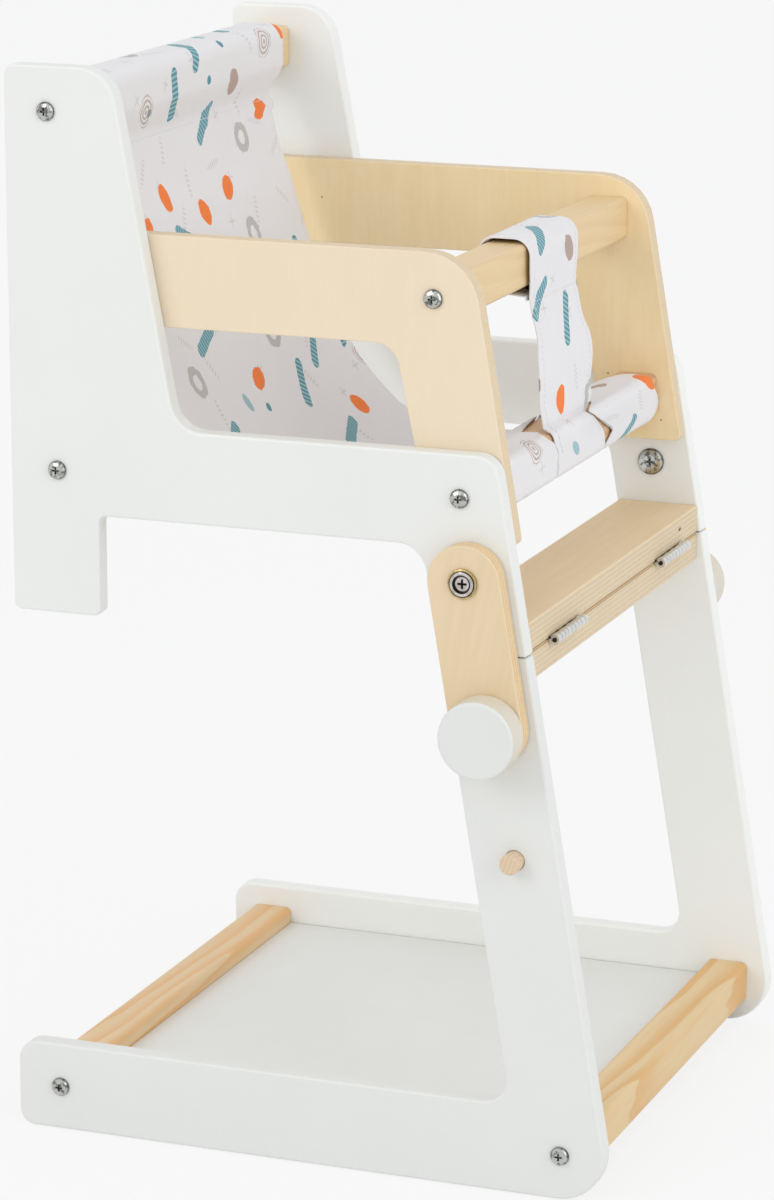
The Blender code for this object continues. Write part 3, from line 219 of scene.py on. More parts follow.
# Pine: two colours, the rings' pitch and their contrast; for each bar the pith's place off its
# middle, how that runs askew and bends, and the wood
PINE_PLAIN = ((0.84, 0.64, 0.38), (0.80, 0.56, 0.29), 0.0042, 0.45)
PINE_AMBER = ((0.72, 0.47, 0.265), (0.60, 0.34, 0.155), 0.0048, 0.8)
PINE_TRAY = ((0.80, 0.60, 0.335), (0.73, 0.51, 0.26), 0.0042, 0.45)
PINE_REAR = ((0.785, 0.575, 0.335), (0.78, 0.44, 0.17), 0.0062, 0.9)
PINE_FRONT = ((0.785, 0.585, 0.32), (0.74, 0.43, 0.145), 0.0092, 0.95)
PINE_PEG = ((0.735, 0.585, 0.42), (0.70, 0.50, 0.29), 0.0022, 0.8)
BAR_WOOD = {
    "back_bar": ((0.010, -0.060), (0.02, 0.1), PINE_PLAIN),
    "rear_seat_bar": ((0.030, -0.040), (0.04, 0.2), PINE_PLAIN),
    "front_seat_bar": ((-0.020, 0.045), (0.05, 0.3), PINE_AMBER),
    "tray_bar": ((0.050, 0.030), (0.06, 0.2), PINE_TRAY),
    "base_rear_bar": ((0.030, -0.030), (0.03, 0.06), PINE_REAR),
    "base_front_bar": ((0.040, -0.004), (0.055, 0.25), PINE_FRONT),
}

# Plywood: a face's pale and deep colours, an edge's light and dark layers, its glue and their
# contrast, how the figure is scaled along each axis, and how the link's is turned
ARMREST_FACE = ((0.845, 0.715, 0.535), (0.83, 0.697, 0.508))
# The armrests' inner faces: a lighter, warmer copy of the face colours, painted light
ARMREST_INNER_LIT_FACE = ((0.92, 0.745, 0.465), (0.885, 0.695, 0.395))
ARMREST_EDGE = ((0.82, 0.665, 0.455), (0.73, 0.555, 0.345), PLY_GLUE, 0.45)
LINK_FACE = ((0.80, 0.64, 0.43), (0.76, 0.59, 0.37))
LINK_EDGE = ((0.86, 0.67, 0.42), (0.80, 0.54, 0.26), PLY_GLUE, 0.8)
BOARD_FACE = ((0.88, 0.69, 0.44), (0.83, 0.635, 0.385))
BOARD_EDGE = ((0.79, 0.645, 0.445), (0.70, 0.55, 0.35), (0.60, 0.40, 0.18), 0.6)
ARMREST_GRAIN = (40.0, 40.0, 7.0)
LINK_GRAIN = (40.0, 3.2, 40.0)
LINK_TURN = math.radians(80.4)
BOARD_GRAIN = (3.2, 40.0, 40.0)

# Print, in metres of cloth: each lattice's pitch, turn, wander and seed, and the motifs' half sizes
WEAVE_PITCH = 0.00055
FINE_LATTICE = (0.0255, 0.9, 0.35, 5.0)
DASH_SIZE = (0.0085, 0.0017)
DASH_STRIPE = 0.0026
CROSS_SIZE = (0.0040, 0.0006)
DOT_SIZE = (0.0024, 0.0024)
BOLD_LATTICE = (0.0365, 0.37, 0.36, 2.0)
ROUND_SIZE = (0.0056, 0.0076)
PEBBLE_SIZE = (0.0078, 0.0054)
BATON_STRAIGHT = 0.0115
BATON_RADIUS = 0.0035
BATON_STRIPE = 0.0027
RING_SIZE = (0.0095, 0.0078)
SMALL_SIZE = (0.0030, 0.0055)

# Stage: the floor glows in the backdrop's colour and darkens a little where it is shaded
SKY_COLOUR = (0.97, 0.985, 1.0)
SKY_STRENGTH = 0.83
BACKDROP_COLOUR = (0.93, 0.93, 0.93)
FLOOR_GLOW = 0.895
SHADOW_COLOUR = (0.115, 0.115, 0.115)
GROUND_COLOUR = (0.88, 0.88, 0.88)
FLOOR_REACH = 20.0
FLOOR_DROP = 0.0004
LAMP_AIM_HEIGHT = 0.27
LAMPS = (
    ("key", (-1.7, 0.9, 1.3), 7.5, 1.0, (1.0, 0.985, 0.965)),
    ("front", (-0.6, -1.7, 1.1), 8.0, 1.5, (1.0, 0.995, 0.985)),
)

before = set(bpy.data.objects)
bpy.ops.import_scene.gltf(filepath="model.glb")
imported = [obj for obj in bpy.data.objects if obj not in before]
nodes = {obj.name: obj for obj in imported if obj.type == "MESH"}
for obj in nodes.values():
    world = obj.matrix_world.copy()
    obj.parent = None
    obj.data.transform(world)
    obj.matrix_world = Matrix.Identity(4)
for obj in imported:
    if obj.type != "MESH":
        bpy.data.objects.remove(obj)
cad_low, cad_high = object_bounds()


def shaded(colour, share):
    return tuple(c * share for c in colour)


def placed(name, data):
    """A new object of the scene."""
    made = bpy.data.objects.new(name, data)
    bpy.context.scene.collection.objects.link(made)
    return made


def mesh_object(name, mesh, material):
    """A new object of the scene with a bmesh's faces."""
    data = bpy.data.meshes.new(name)
    mesh.to_mesh(data)
    data.materials.append(material)
    return placed(name, data)


# Shader helpers


class Graph:
    """The node tree of a material or world, with a short way to add and wire nodes."""

    def __init__(self, owner, empty=True):
        owner.use_nodes = True
        self.tree = owner.node_tree
        if empty:
            self.tree.nodes.clear()

    def add(self, kind, values=(), **settings):
        """A new shader node of a kind, with values or links in its sockets."""
        made = self.tree.nodes.new("ShaderNode" + kind)
        for name, setting in settings.items():
            setattr(made, name, setting)
        for socket, value in dict(values).items():
            self.feed(made.inputs[socket], value)
        return made

    def feed(self, socket, value):
        if isinstance(value, bpy.types.NodeSocket):
            self.tree.links.new(value, socket)
        elif isinstance(value, tuple) and socket.type == "RGBA":
            socket.default_value = (*value, 1)
        else:
            socket.default_value = value

    def math(self, operation, *values):
        return self.add("Math", enumerate(values), operation=operation).outputs[0]

    def direct(self):
        """1 where a ray shows the thing itself: from the camera, in gloss or through glass."""
        rays = self.add("LightPath").outputs
        shown = self.math("MAXIMUM", rays["Is Camera Ray"], rays["Is Glossy Ray"])
        return self.math("MAXIMUM", shown, rays["Is Transmission Ray"])


class Look(Graph):
    """A Principled material with the steps that the finishes are made of."""

    def __init__(self, name, colour=(0.8, 0.8, 0.8), roughness=0.5, metallic=0.0):
        self.material = bpy.data.materials.new(name)
        super().__init__(self.material, empty=False)
        self.shader = self.tree.nodes["Principled BSDF"]
        self.feed(self.shader.inputs["Base Color"], colour)
        self.feed(self.shader.inputs["Roughness"], roughness)
        self.feed(self.shader.inputs["Metallic"], metallic)
        place = self.add("TexCoord").outputs
        self.where, self.in_box = place["Object"], place["Generated"]
        self.facing, self.cloth = place["Normal"], place["UV"]

    def times(self, first, second):
        return self.math("MULTIPLY", first, second)

    def plus(self, first, second):
        return self.math("ADD", first, second)

    def minus(self, first, second):
        return self.math("SUBTRACT", first, second)

    def wave(self, value, pitch):
        return self.math("SINE", self.times(value, math.tau / pitch))

    def length(self, a, b):
        return self.math("SQRT", self.plus(self.times(a, a), self.times(b, b)))

    def vector(self, operation, *values):
        made = self.add("VectorMath", enumerate(values), operation=operation)
        return made.outputs[0]

    def scaled(self, vector, factor):
        values = {0: vector, "Scale": factor}
        return self.add("VectorMath", values, operation="SCALE").outputs[0]

    def parts(self, vector):
        return self.add("SeparateXYZ", {0: vector}).outputs

    def joined(self, x, y, z):
        return self.add("CombineXYZ", {0: x, 1: y, 2: z}).outputs[0]

    def span(self, value, low, high, start=0.0, end=1.0):
        """The value carried smoothly from low..high to start..end, and held beyond them."""
        made = self.add("MapRange", {0: value, 1: low, 2: high, 3: start, 4: end})
        made.interpolation_type = "SMOOTHSTEP"
        return made.outputs[0]

    def noise(self, vector, scale, detail=2.0, roughness=0.5):
        values = {"Vector": vector, "Scale": scale, "Detail": detail, "Roughness": roughness}
        return self.add("TexNoise", values).outputs["Fac"]

    def turned(self, vector, angle, axis):
        values = {"Vector": vector, "Angle": angle}
        return self.add("VectorRotate", values, rotation_type=axis).outputs[0]

    def stretched(self, vector, scales, turn=0.0):
        """The vector turned about X by an angle, then scaled along each axis."""
        return self.vector("MULTIPLY", self.turned(vector, turn, "X_AXIS"), scales)

    def grain(self, scales, detail=2.0, roughness=0.5):
        """Noise of the place, with its own scale along each axis."""
        return self.noise(self.stretched(self.where, scales), 1.0, detail, roughness)

    def mix(self, share, first, second):
        made = self.add("Mix", data_type="RGBA")
        self.feed(made.inputs[0], share)
        self.feed(made.inputs[6], first)
        self.feed(made.inputs[7], second)
        return made.outputs[2]

    def bump(self, height, distance, strength, under=None):
        values = {"Height": height, "Distance": distance, "Strength": strength}
        if under:
            values["Normal"] = under
        return self.add("Bump", values).outputs[0]

    def finish(self, colour, roughness, normal):
        for socket, value in (("Base Color", colour), ("Roughness", roughness), ("Normal", normal)):
            if value:
                self.feed(self.shader.inputs[socket], value)
        return self.material


# Finishes of the hard pieces


def white_paint(name, share=1.0, reflected_wall=None, joint=None):
    """Satin paint with a roller's fine texture, painted lighter over the eased rims as a painted
    highlight.

    The wall colour, where given, is the colour of the faces that stand square to the sides, where
    it differs: a painted reflection of warm wood;
    the joint argument, where given, is the x along which painted shade darkens the paint at a
    joint.
    """
    look = Look(name)
    base = shaded(PAINT_COLOUR, share)
    where = look.where
    across = look.math("ABSOLUTE", look.parts(look.facing)[0])
    rim = look.times(look.span(across, 0.2, 0.6), look.span(across, 0.99, 0.85))
    cloud = look.noise(where, 14.0, 3.0)
    colour = look.mix(look.span(cloud, 0.3, 0.7), base, shaded(base, 0.985))
    # Painted highlight: the eased rims are painted lighter, where they would catch the light.
    rim_highlight = look.times(rim, look.span(look.noise(where, 120.0, 4.0), 0.35, 0.75))
    colour = look.mix(look.times(rim_highlight, 0.8), colour, shaded(base, 1.045))
    # Painted reflection: faces square to the sides take the warm colour of wood reflected in them.
    if reflected_wall:
        colour = look.mix(look.span(across, 0.5, 0.2), colour, reflected_wall)
    # Painted shade: a dark line where the shelf meets the far side, as in a gap.
    if joint:
        reach = look.math("ABSOLUTE", look.minus(look.parts(where)[0], joint))
        joint_shade = look.times(look.span(reach, JOINT_SHADE_REACH, JOINT_SHADE_REACH * 0.4), 0.7)
        colour = look.mix(joint_shade, colour, JOINT_SHADE_COLOUR)
    fleck = look.span(look.noise(where, 620.0, 1.0), 0.80, 0.86)
    colour = look.mix(look.times(fleck, 0.25), colour, (0.55, 0.54, 0.51))
    peel = look.bump(look.noise(where, 520.0, 3.0, 0.6), 0.00012, 0.35)
    grain = look.grain((60.0, 26.0, 300.0), 3.0)
    normal = look.bump(grain, 0.00016, 0.25, under=peel)
    rough = look.span(look.noise(where, 45.0, 3.0), 0.3, 0.7, 0.36, 0.46)
    return look.finish(colour, rough, normal)


def layers(look, depth, start, thickness, count, light, dark, glue_colour, contrast):
    """The colour of a plywood edge at a depth through the sheet, and where its glue lines are."""
    step = look.math("DIVIDE", look.minus(depth, start), thickness / count)
    wave = look.grain((60.0, 30.0, 30.0))
    step = look.plus(step, look.times(look.minus(wave, 0.5), 0.30))
    odd = look.math("GREATER_THAN", look.math("MODULO", look.plus(step, count * 2.0), 2.0), 1.0)
    glue = look.math("ABSOLUTE", look.minus(look.math("FRACT", step), 0.5))
    glue = look.span(glue, 0.39, 0.5)
    broken = look.span(look.grain((150.0, 90.0, 150.0)), 0.35, 0.6)
    glue = look.times(glue, look.span(broken, 0.0, 1.0, 0.45, 1.0))
    fibre = look.grain((700.0, 260.0, 700.0))
    pale = look.mix(look.span(fibre, 0.3, 0.7), light, shaded(light, 0.94))
    deep = look.mix(look.span(fibre, 0.3, 0.7), dark, shaded(dark, 0.90))
    bands = look.mix(look.times(odd, contrast), pale, deep)
    return look.mix(look.times(glue, contrast * 0.7), bands, glue_colour), glue


def veneer(look, scales, turn, pale, deep):
    """The colour and height of a rotary-cut face: soft figure, long streaks and fine pores."""
    along = look.stretched(look.where, scales, turn)
    bend = look.noise(along, 0.35, 2.0)
    shifted = look.vector("ADD", along, look.joined(bend, bend, bend))
    figure = look.noise(shifted, 1.0, 4.0, 0.55)
    streaks = look.noise(shifted, 7.0, 4.0, 0.6)
    pores = look.noise(shifted, 34.0, 2.0, 0.5)
    tone = look.plus(look.times(figure, 0.6), look.times(streaks, 0.4))
    colour = look.mix(look.span(tone, 0.34, 0.66), pale, deep)
    pore = look.span(pores, 0.64, 0.76)
    colour = look.mix(look.times(pore, 0.08), colour, shaded(deep, 0.7))
    return colour, look.plus(streaks, look.times(pores, -0.5))


def marked(look, colour, spots, radius, facing):
    """The colour with small dark round marks at the given (u, z) spots of a facing surface."""
    y, z = look.parts(look.where)[1:3]
    for u, height in spots:
        a = look.minus(y, HALF_DEPTH - u)
        b = look.minus(z, height)
        spot = look.times(look.span(look.length(a, b), radius, radius * 0.6), facing)
        colour = look.mix(look.times(spot, 0.8), colour, MARK_COLOUR)
    return colour


def plywood(name, axis, start, thickness, count, grain, face, edge, inner=None, turn=0.0):
    """Plywood whose sheet lies across an axis, with its layers showing on the cut edges.

    inner is the sign of a side whose face takes a lighter, warmer copy of the face colours as
    painted light, and those colours.
    """
    look = Look(name)
    colour, height = veneer(look, grain, turn, *face)
    depth = look.parts(look.where)[axis]
    edge_colour, glue = layers(look, depth, start, thickness, count, *edge)
    normal = look.parts(look.facing)[axis]
    # Painted light: the inner face takes a lighter, warmer copy of the veneer, with the brads
    # marked on it.
    if inner:
        side, pale, deep = inner
        lit_inner_colour = veneer(look, tuple(c * 1.1 for c in grain), turn, pale, deep)[0]
        inside = look.span(look.times(normal, side), 0.3, 0.6)
        lit_inner_colour = marked(look, lit_inner_colour, BRADS, BRAD_RADIUS, inside)
        colour = look.mix(inside, colour, lit_inner_colour)
    on_face = look.span(look.math("ABSOLUTE", normal), 0.55, 0.8)
    colour = look.mix(on_face, edge_colour, colour)
    if axis == 2:
        x, _, z = look.parts(look.where)[:3]
        off = look.minus(x, BOARD_VOID[0]), look.minus(z, BOARD_VOID[1])
        hole = ellipse(look, *off, *VOID_SIZE)
        ahead = look.span(look.parts(look.facing)[1], -0.3, -0.8)
        hole = look.times(look.span(hole, 1.1, 0.7), ahead)
        colour = look.mix(look.times(hole, 0.95), colour, MARK_COLOUR)
        # Painted shade: a dark line in the gap between the two boards.
        seam = look.math("ABSOLUTE", look.minus(z, SPLIT_HEIGHT))
        seam = look.times(look.span(seam, SEAM_SHADE_REACH, SEAM_SHADE_REACH * 0.5), look.minus(1.0, on_face))
        colour = look.mix(look.times(seam, 0.9), colour, SEAM_SHADE_COLOUR)
    lines = look.times(glue, look.minus(1.0, on_face))
    fine = look.bump(height, 0.00010, 0.35)
    normal = look.bump(look.minus(1.0, lines), 0.0002, 0.5, under=fine)
    rough = look.span(height, 0.2, 0.8, 0.48, 0.62)
    return look.finish(colour, rough, normal)


def pine(name, centre, pith, slope, pale, dark, spacing, strength):
    """Flat-sawn pine: growth rings round a pith that lies off the bar and runs askew to it."""
    look = Look(name)
    where = look.where
    x, y, z = look.parts(where)[:3]
    stir = look.grain((5.0, 30.0, 30.0), 3.0)
    stir = look.times(look.minus(stir, 0.5), spacing * 2.2)
    across = look.minus(y, centre.y + pith[0])
    up = look.minus(z, centre.z + pith[1])
    up = look.plus(up, look.times(look.times(x, x), slope[1]))
    across = look.plus(across, look.times(x, slope[0]))
    radius = look.plus(look.length(across, up), stir)
    ring = look.math("FRACT", look.math("DIVIDE", radius, spacing))
    late = look.times(look.span(ring, 0.25, 0.86), look.span(ring, 1.0, 0.93))
    fibre = look.grain((24.0, 900.0, 900.0), 3.0, 0.6)
    colour = look.mix(look.times(late, strength), pale, dark)
    streak = look.times(look.span(fibre, 0.45, 0.75), 0.18)
    colour = look.mix(streak, colour, shaded(dark, 0.85))
    height = look.plus(late, fibre)
    normal = look.bump(height, 0.00008, 0.3)
    return look.finish(colour, look.span(late, 0.0, 1.0, 0.46, 0.38), normal)


def across_head(look):
    """A screw's own place across its head, in heads from the middle, and how far out that is."""
    y, z = look.parts(look.in_box)[1:3]
    y = look.minus(y, 0.5)
    z = look.minus(z, 0.5)
    reach = look.length(y, z)
    return look.math("ABSOLUTE", y), look.math("ABSOLUTE", z), reach


def cross_cut(look, y, z, reach, half, end):
    """1 in the cross of a head, by the heads over which its half width and its ends fade."""
    thin = look.math("MINIMUM", y, z)
    return look.times(look.span(thin, *half), look.span(reach, *end))


def metal(name, colour, roughness, head_dark=None):
    """Plated steel with fine scratches and an uneven sheen; on heads, dark blotches, painted shade
    in the cross and a painted dark reflection round the rim.
    """
    look = Look(name, colour, roughness, 1.0)
    where = look.where
    cloud = look.noise(where, 260.0, 3.0)
    tone = look.mix(look.span(cloud, 0.3, 0.7), colour, shaded(colour, 0.88))
    if head_dark:
        y, z, reach = across_head(look)
        dark_blotches = look.span(look.noise(where, 430.0, 2.0), 0.50, 0.62)
        tone = look.mix(look.times(dark_blotches, 0.72), tone, head_dark)
        # Painted shade in the cross's recess and a painted dark reflection round the rim
        cross_shade = cross_cut(look, y, z, reach, *HEAD_CROSS)
        rim = look.span(reach, *HEAD_RIM)
        share = look.math("MAXIMUM", look.times(cross_shade, 0.7), look.times(rim, 0.65))
        tone = look.mix(share, tone, head_dark)
    scratch = look.grain(SCRATCHES)
    normal = look.bump(scratch, SCRATCH_DEPTH, 0.25)
    return look.finish(tone, look.span(cloud, 0.3, 0.7, roughness * 0.8, roughness * 1.3), normal)


def bolt_metal():
    """The cupped bolt: a thin rubbed brass rim, grooves darkened as painted shade, a lip lightened
    as a painted highlight, and a steel middle whose cross is darkened as painted shade.
    """
    look = Look("bolt_brass_painted_shade", BRASS_COLOUR, 0.25, 1.0)
    where = look.where
    y, z, reach = across_head(look)
    cloud = look.span(look.noise(where, 300.0, 3.0), 0.35, 0.7)
    colour = look.mix(cloud, BRASS_COLOUR, shaded(BRASS_COLOUR, 0.7))
    # Painted shade in the dark rings, and a painted highlight on the lip's steel ring
    for outer, tone in BOLT_RINGS:
        tone = look.mix(cloud, tone, shaded(tone, 0.7))
        inside = look.span(reach, outer + RING_FADE, outer - RING_FADE)
        colour = look.mix(inside, colour, tone)
    # Painted shade in the cross's recess
    colour = look.mix(cross_cut(look, y, z, reach, *BOLT_CROSS), colour, BOLT_SHADE_COLOUR)
    scratch = look.grain(SCRATCHES)
    rough = look.span(cloud, 0.0, 1.0, 0.2, 0.36)
    return look.finish(colour, rough, look.bump(scratch, SCRATCH_DEPTH, 0.25))


# The printed cloth


def scattered(look, pitch, turn, wander, seed):
    """A motif's own coordinates, in metres, on a turned lattice, and its random number."""
    spot = look.scaled(look.turned(look.cloth, turn, "Z_AXIS"), 1 / pitch)
    spot = look.vector("ADD", spot, (seed, seed * 0.7, 0.0))
    cell = look.vector("FLOOR", spot)
    first = look.add("TexWhiteNoise", {"Vector": cell}, noise_dimensions="2D").outputs
    other = look.vector("ADD", cell, (37.3, 11.9, 0.0))
    second = look.add("TexWhiteNoise", {"Vector": other}, noise_dimensions="2D").outputs
    shift = look.vector("SUBTRACT", first["Color"], (0.5, 0.5, 0.5))
    shift = look.vector("MULTIPLY", shift, (wander, wander, 0.0))
    inside = look.vector("SUBTRACT", look.vector("FRACTION", spot), (0.5, 0.5, 0.0))
    local = look.scaled(look.vector("SUBTRACT", inside, shift), pitch)
    angle = look.times(second["Value"], math.tau)
    return look.turned(local, angle, "Z_AXIS"), first["Value"]


def ellipse(look, x, y, half_x, half_y):
    """How far out a point lies: 1 on the ellipse."""
    return look.length(look.math("DIVIDE", x, half_x), look.math("DIVIDE", y, half_y))


class Print:
    """A lattice of motifs, each of a kind by its random number, on a cloth of a colour."""

    def __init__(self, look, lattice, wobble, colour):
        self.look, self.wobble, self.colour = look, wobble, colour
        spot, self.kind = scattered(look, *lattice)
        self.x, self.y = look.parts(spot)[:2]

    def filled(self, reach):
        """1 inside a motif's outline, whose edge wanders a little."""
        return self.look.span(self.look.plus(reach, self.wobble), 1.04, 0.96)

    def oval(self, size):
        return self.filled(ellipse(self.look, self.x, self.y, *size))

    def put(self, motif, low, high, ink, strength=None):
        """Adds a motif to the colour where the random number lies between two others."""
        look = self.look
        above = look.math("GREATER_THAN", self.kind, low)
        chosen = look.times(above, look.math("LESS_THAN", self.kind, high))
        share = look.times(motif, chosen)
        if strength:
            share = look.times(share, strength)
        self.colour = look.mix(share, self.colour, ink)


def fine_print(look, wobble, colour):
    """The colour with faint striped dashes and crosses, and a few teal dots."""
    fine = Print(look, FINE_LATTICE, wobble, colour)
    ticks = look.math("GREATER_THAN", look.wave(fine.x, DASH_STRIPE), 0.1)
    dash = look.times(fine.oval(DASH_SIZE), ticks)
    cross = look.math("MAXIMUM", fine.oval(CROSS_SIZE), fine.oval(CROSS_SIZE[::-1]))
    fine.put(dash, 0.0, 0.34, FAINT, 0.8)
    fine.put(cross, 0.34, 0.55, FAINT, 0.8)
    fine.put(fine.oval(DOT_SIZE), 0.90, 0.95, TEAL)
    return fine.colour


def bold_print(look, wobble, colour):
    """The colour with orange rounds, taupe pebbles, striped batons, rings and ripples."""
    bold = Print(look, BOLD_LATTICE, wobble, colour)
    bold.put(bold.oval(ROUND_SIZE), 0.0, 0.20, ORANGE)
    bold.put(bold.oval(PEBBLE_SIZE), 0.20, 0.34, TAUPE)
    beyond = look.math("MAXIMUM", look.minus(look.math("ABSOLUTE", bold.x), BATON_STRAIGHT), 0.0)
    baton = bold.filled(ellipse(look, beyond, bold.y, BATON_RADIUS, BATON_RADIUS))
    stripe = look.math("GREATER_THAN", look.wave(bold.x, BATON_STRIPE), -0.35)
    bold.put(baton, 0.34, 0.52, look.mix(stripe, PALE_TEAL, TEAL))
    reach = ellipse(look, bold.x, bold.y, *RING_SIZE)
    ring = look.times(bold.filled(reach), look.span(look.plus(reach, wobble), 0.42, 0.50))
    bold.put(ring, 0.52, 0.65, GREY)
    ripple = look.math("GREATER_THAN", look.math("SINE", look.times(reach, 20.0)), 0.0)
    bold.put(look.times(bold.filled(reach), ripple), 0.65, 0.76, TAUPE, 0.8)
    bold.put(bold.oval(SMALL_SIZE), 0.76, 0.90, PALE_TEAL)
    return bold.colour


def printed_cloth():
    """Plain-weave cotton with a generic print."""
    look = Look("printed_cloth", roughness=0.9)
    look.shader.inputs["Sheen Weight"].default_value = 0.15
    look.shader.inputs["Sheen Roughness"].default_value = 0.5
    cloth = look.cloth
    wobble = look.noise(cloth, 260.0, 2.0)
    wobble = look.times(look.minus(wobble, 0.5), 0.35)
    across, along = (look.wave(look.parts(cloth)[axis], WEAVE_PITCH) for axis in (0, 1))
    weave = look.times(across, along)
    slub = look.noise(look.vector("MULTIPLY", cloth, (900.0, 60.0, 1.0)), 1.0, 3.0)
    slub = look.times(look.span(slub, 0.35, 0.75), 0.5)
    colour = look.mix(slub, CLOTH_COLOUR, shaded(CLOTH_COLOUR, 0.965))
    colour = bold_print(look, wobble, fine_print(look, wobble, colour))
    normal = look.bump(weave, 0.00012, 0.5)
    crumple = look.noise(cloth, 38.0, 3.0)
    normal = look.bump(crumple, 0.0012, 0.22, under=normal)
    return look.finish(colour, None, normal)


# Cloth shapes


def side_view(node):
    """Where a cross bar's centre lies in side view, forward and up, and half its size."""
    low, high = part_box(node)
    return Vector((-(low[1] + high[1]) / 2, (low[2] + high[2]) / 2)), (high[2] - low[2]) / 2


HALF_DEPTH = (cad_high[1] - cad_low[1]) / 2
SPLIT_HEIGHT = (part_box("base_board")[1][2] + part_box("seat_board")[0][2]) / 2
BACK_BAR, BAR_HALF = side_view("back_bar")
FRONT_BAR = side_view("front_seat_bar")[0]
TRAY_BAR = side_view("tray_bar")[0]
SLING_HALF_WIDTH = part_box("armrest_left")[0][0] - SLING_INSET
LAYER = CLOTH_THICKNESS + HEM_RISE * 2 + LAYER_GAP


def spline(points):
    """A smooth curve through the points."""
    ends = [points[0] * 2 - points[1], *points, points[-1] * 2 - points[-2]]
    curve = [points[0]]
    for a, b, c, d in zip(ends, ends[1:], ends[2:], ends[3:]):
        for i in range(1, SPLINE_STEPS + 1):
            t = i / SPLINE_STEPS
            bend = (a * 2 - b * 5 + c * 4 - d) * t * t + (b * 3 - a - c * 3 + d) * t * t * t
            curve.append((b * 2 + (c - a) * t + bend) / 2)
    return curve


def along_lengths(path):
    lengths = [0.0]
    for first, second in zip(path, path[1:]):
        lengths.append(lengths[-1] + (second - first).length)
    return lengths


def spot_at(path, lengths, wanted):
    """The point a length along the path, and the number of the span in which it lies."""
    i = max(0, min(len(path) - 2, bisect.bisect_left(lengths, wanted) - 1))
    way = (wanted - lengths[i]) / (lengths[i + 1] - lengths[i])
    return path[i].lerp(path[i + 1], way), i


def resampled(path, step):
    """The path as points a nearly equal step apart."""
    lengths = along_lengths(path)
    count = max(1, round(lengths[-1] / step))
    return [spot_at(path, lengths, lengths[-1] * part / count)[0] for part in range(count + 1)]


def straight(start, end):
    return resampled([start, end], CLOTH_STEP)


def sleeve_loop(bar, slack, corner):
    """Where cloth runs round a bar: a square with round corners, anticlockwise from the front."""
    half = BAR_HALF + SLEEVE_CLEARANCE + HEM_RISE + CLOTH_THICKNESS / 2 + slack
    loop = []
    for quarter in range(4):
        start = quarter * math.pi / 2
        turn = Matrix.Rotation(start, 2)
        middle = bar + turn @ Vector((half - corner, half - corner))
        for step in range(SLEEVE_ARC_STEPS + 1):
            angle = start + math.pi / 2 * step / SLEEVE_ARC_STEPS
            loop.append(middle + Vector((math.cos(angle), math.sin(angle))) * corner)
        flat = turn @ Vector((-2 * (half - corner), 0))
        loop += [loop[-1] + flat * part / SLEEVE_FLAT_STEPS for part in range(1, SLEEVE_FLAT_STEPS)]
    return loop


def touch(loop, point, hand):
    """The number of the loop's point that a taut line meets on its left, hand 1, or right, -1."""
    ahead = sum(loop, Vector((0, 0))) / len(loop) - point

    def bearing(i):
        way = loop[i] - point
        return hand * math.atan2(ahead.x * way.y - ahead.y * way.x, ahead.dot(way))

    return max(range(len(loop)), key=bearing)


def along_loop(loop, start, end, hand):
    """The loop's points from one number to another, anticlockwise for hand 1, else clockwise."""
    count = (end - start) * hand % len(loop)
    return [loop[(start + hand * i) % len(loop)] for i in range(count + 1)]


def share_at(table, where):
    """The value at a place of a smooth curve through a table's rows that overshoots none."""
    slopes = [(d - b) / (c - a) for (a, b), (c, d) in zip(table, table[1:])]
    steep = [slopes[0]]
    for before, after in zip(slopes, slopes[1:]):
        steep.append(2 * before * after / (before + after) if before * after > 0 else 0.0)
    steep.append(slopes[-1])
    where = max(table[0][0], min(table[-1][0], where))
    k = max(i for i in range(len(table) - 1) if table[i][0] <= where)
    (a, first), (b, second) = table[k], table[k + 1]
    t = (where - a) / (b - a)
    value = first * (1 + 2 * t) * (1 - t) ** 2 + second * t * t * (3 - 2 * t)
    return value + (b - a) * (steep[k] * t * (1 - t) ** 2 - steep[k + 1] * t * t * (1 - t))


def clamped(value):
    return max(0.0, min(1.0, value))


def eased(value):
    """0 below 0, 1 above 1 and smooth between."""
    value = clamped(value)
    return value * value * (3 - 2 * value)


def hanging_path():
    """The hanging cloth in side view, the loop round the front bar, and where they meet."""
    knot = BACK_BAR + Vector((SLING_KNOT_AHEAD, -SLING_KNOT_DROP))
    span = FRONT_BAR - knot
    hang = [knot + Vector((span.x * out, span.y * down)) for out, down in SLING_HANG_SHARES]
    loop = sleeve_loop(FRONT_BAR, 0, TIGHT_ROUND)
    under = touch(loop, hang[-1], -1)
    return [knot, *hang, loop[under]], loop, under


def sling_path():
    """The cloth in side view: round the back bar, down, under the front bar and back over it.

    Also gives the rows where the hanging part starts, at its seam, and ends, and the tabs' seam.
    """
    hanging, loop, under = hanging_path()
    knot = hanging[0]
    way = (hanging[1] - knot).normalized()
    rear_knot = knot + Vector((way.y, -way.x)) * LAYER
    sleeve = sleeve_loop(BACK_BAR, SLEEVE_SLACK, SLEEVE_ROUND)
    behind = touch(sleeve, rear_knot, 1)
    ahead = touch(sleeve, knot, -1)
    path = straight(rear_knot + way * SLING_FLAP, rear_knot)
    path += straight(rear_knot, sleeve[behind])[1:-1]
    path += along_loop(sleeve, behind, ahead, -1)
    path += straight(sleeve[ahead], knot)[1:-1]
    first = len(path)
    path += resampled(spline(hanging), CLOTH_STEP)
    last = len(path) - 1
    way = (hanging[-2] - hanging[-1]).normalized()
    tab_knot = hanging[-1] + way * TAB_KNOT_BACK + Vector((way.y, -way.x)) * LAYER
    leave = touch(loop, tab_knot, 1)
    path += along_loop(loop, under, leave, 1)[1:]
    path += straight(loop[leave], tab_knot)[1:]
    seam = len(path) - 1
    path += straight(tab_knot, tab_knot + way * SLING_FLAP)[1:]
    return path, first, last, seam


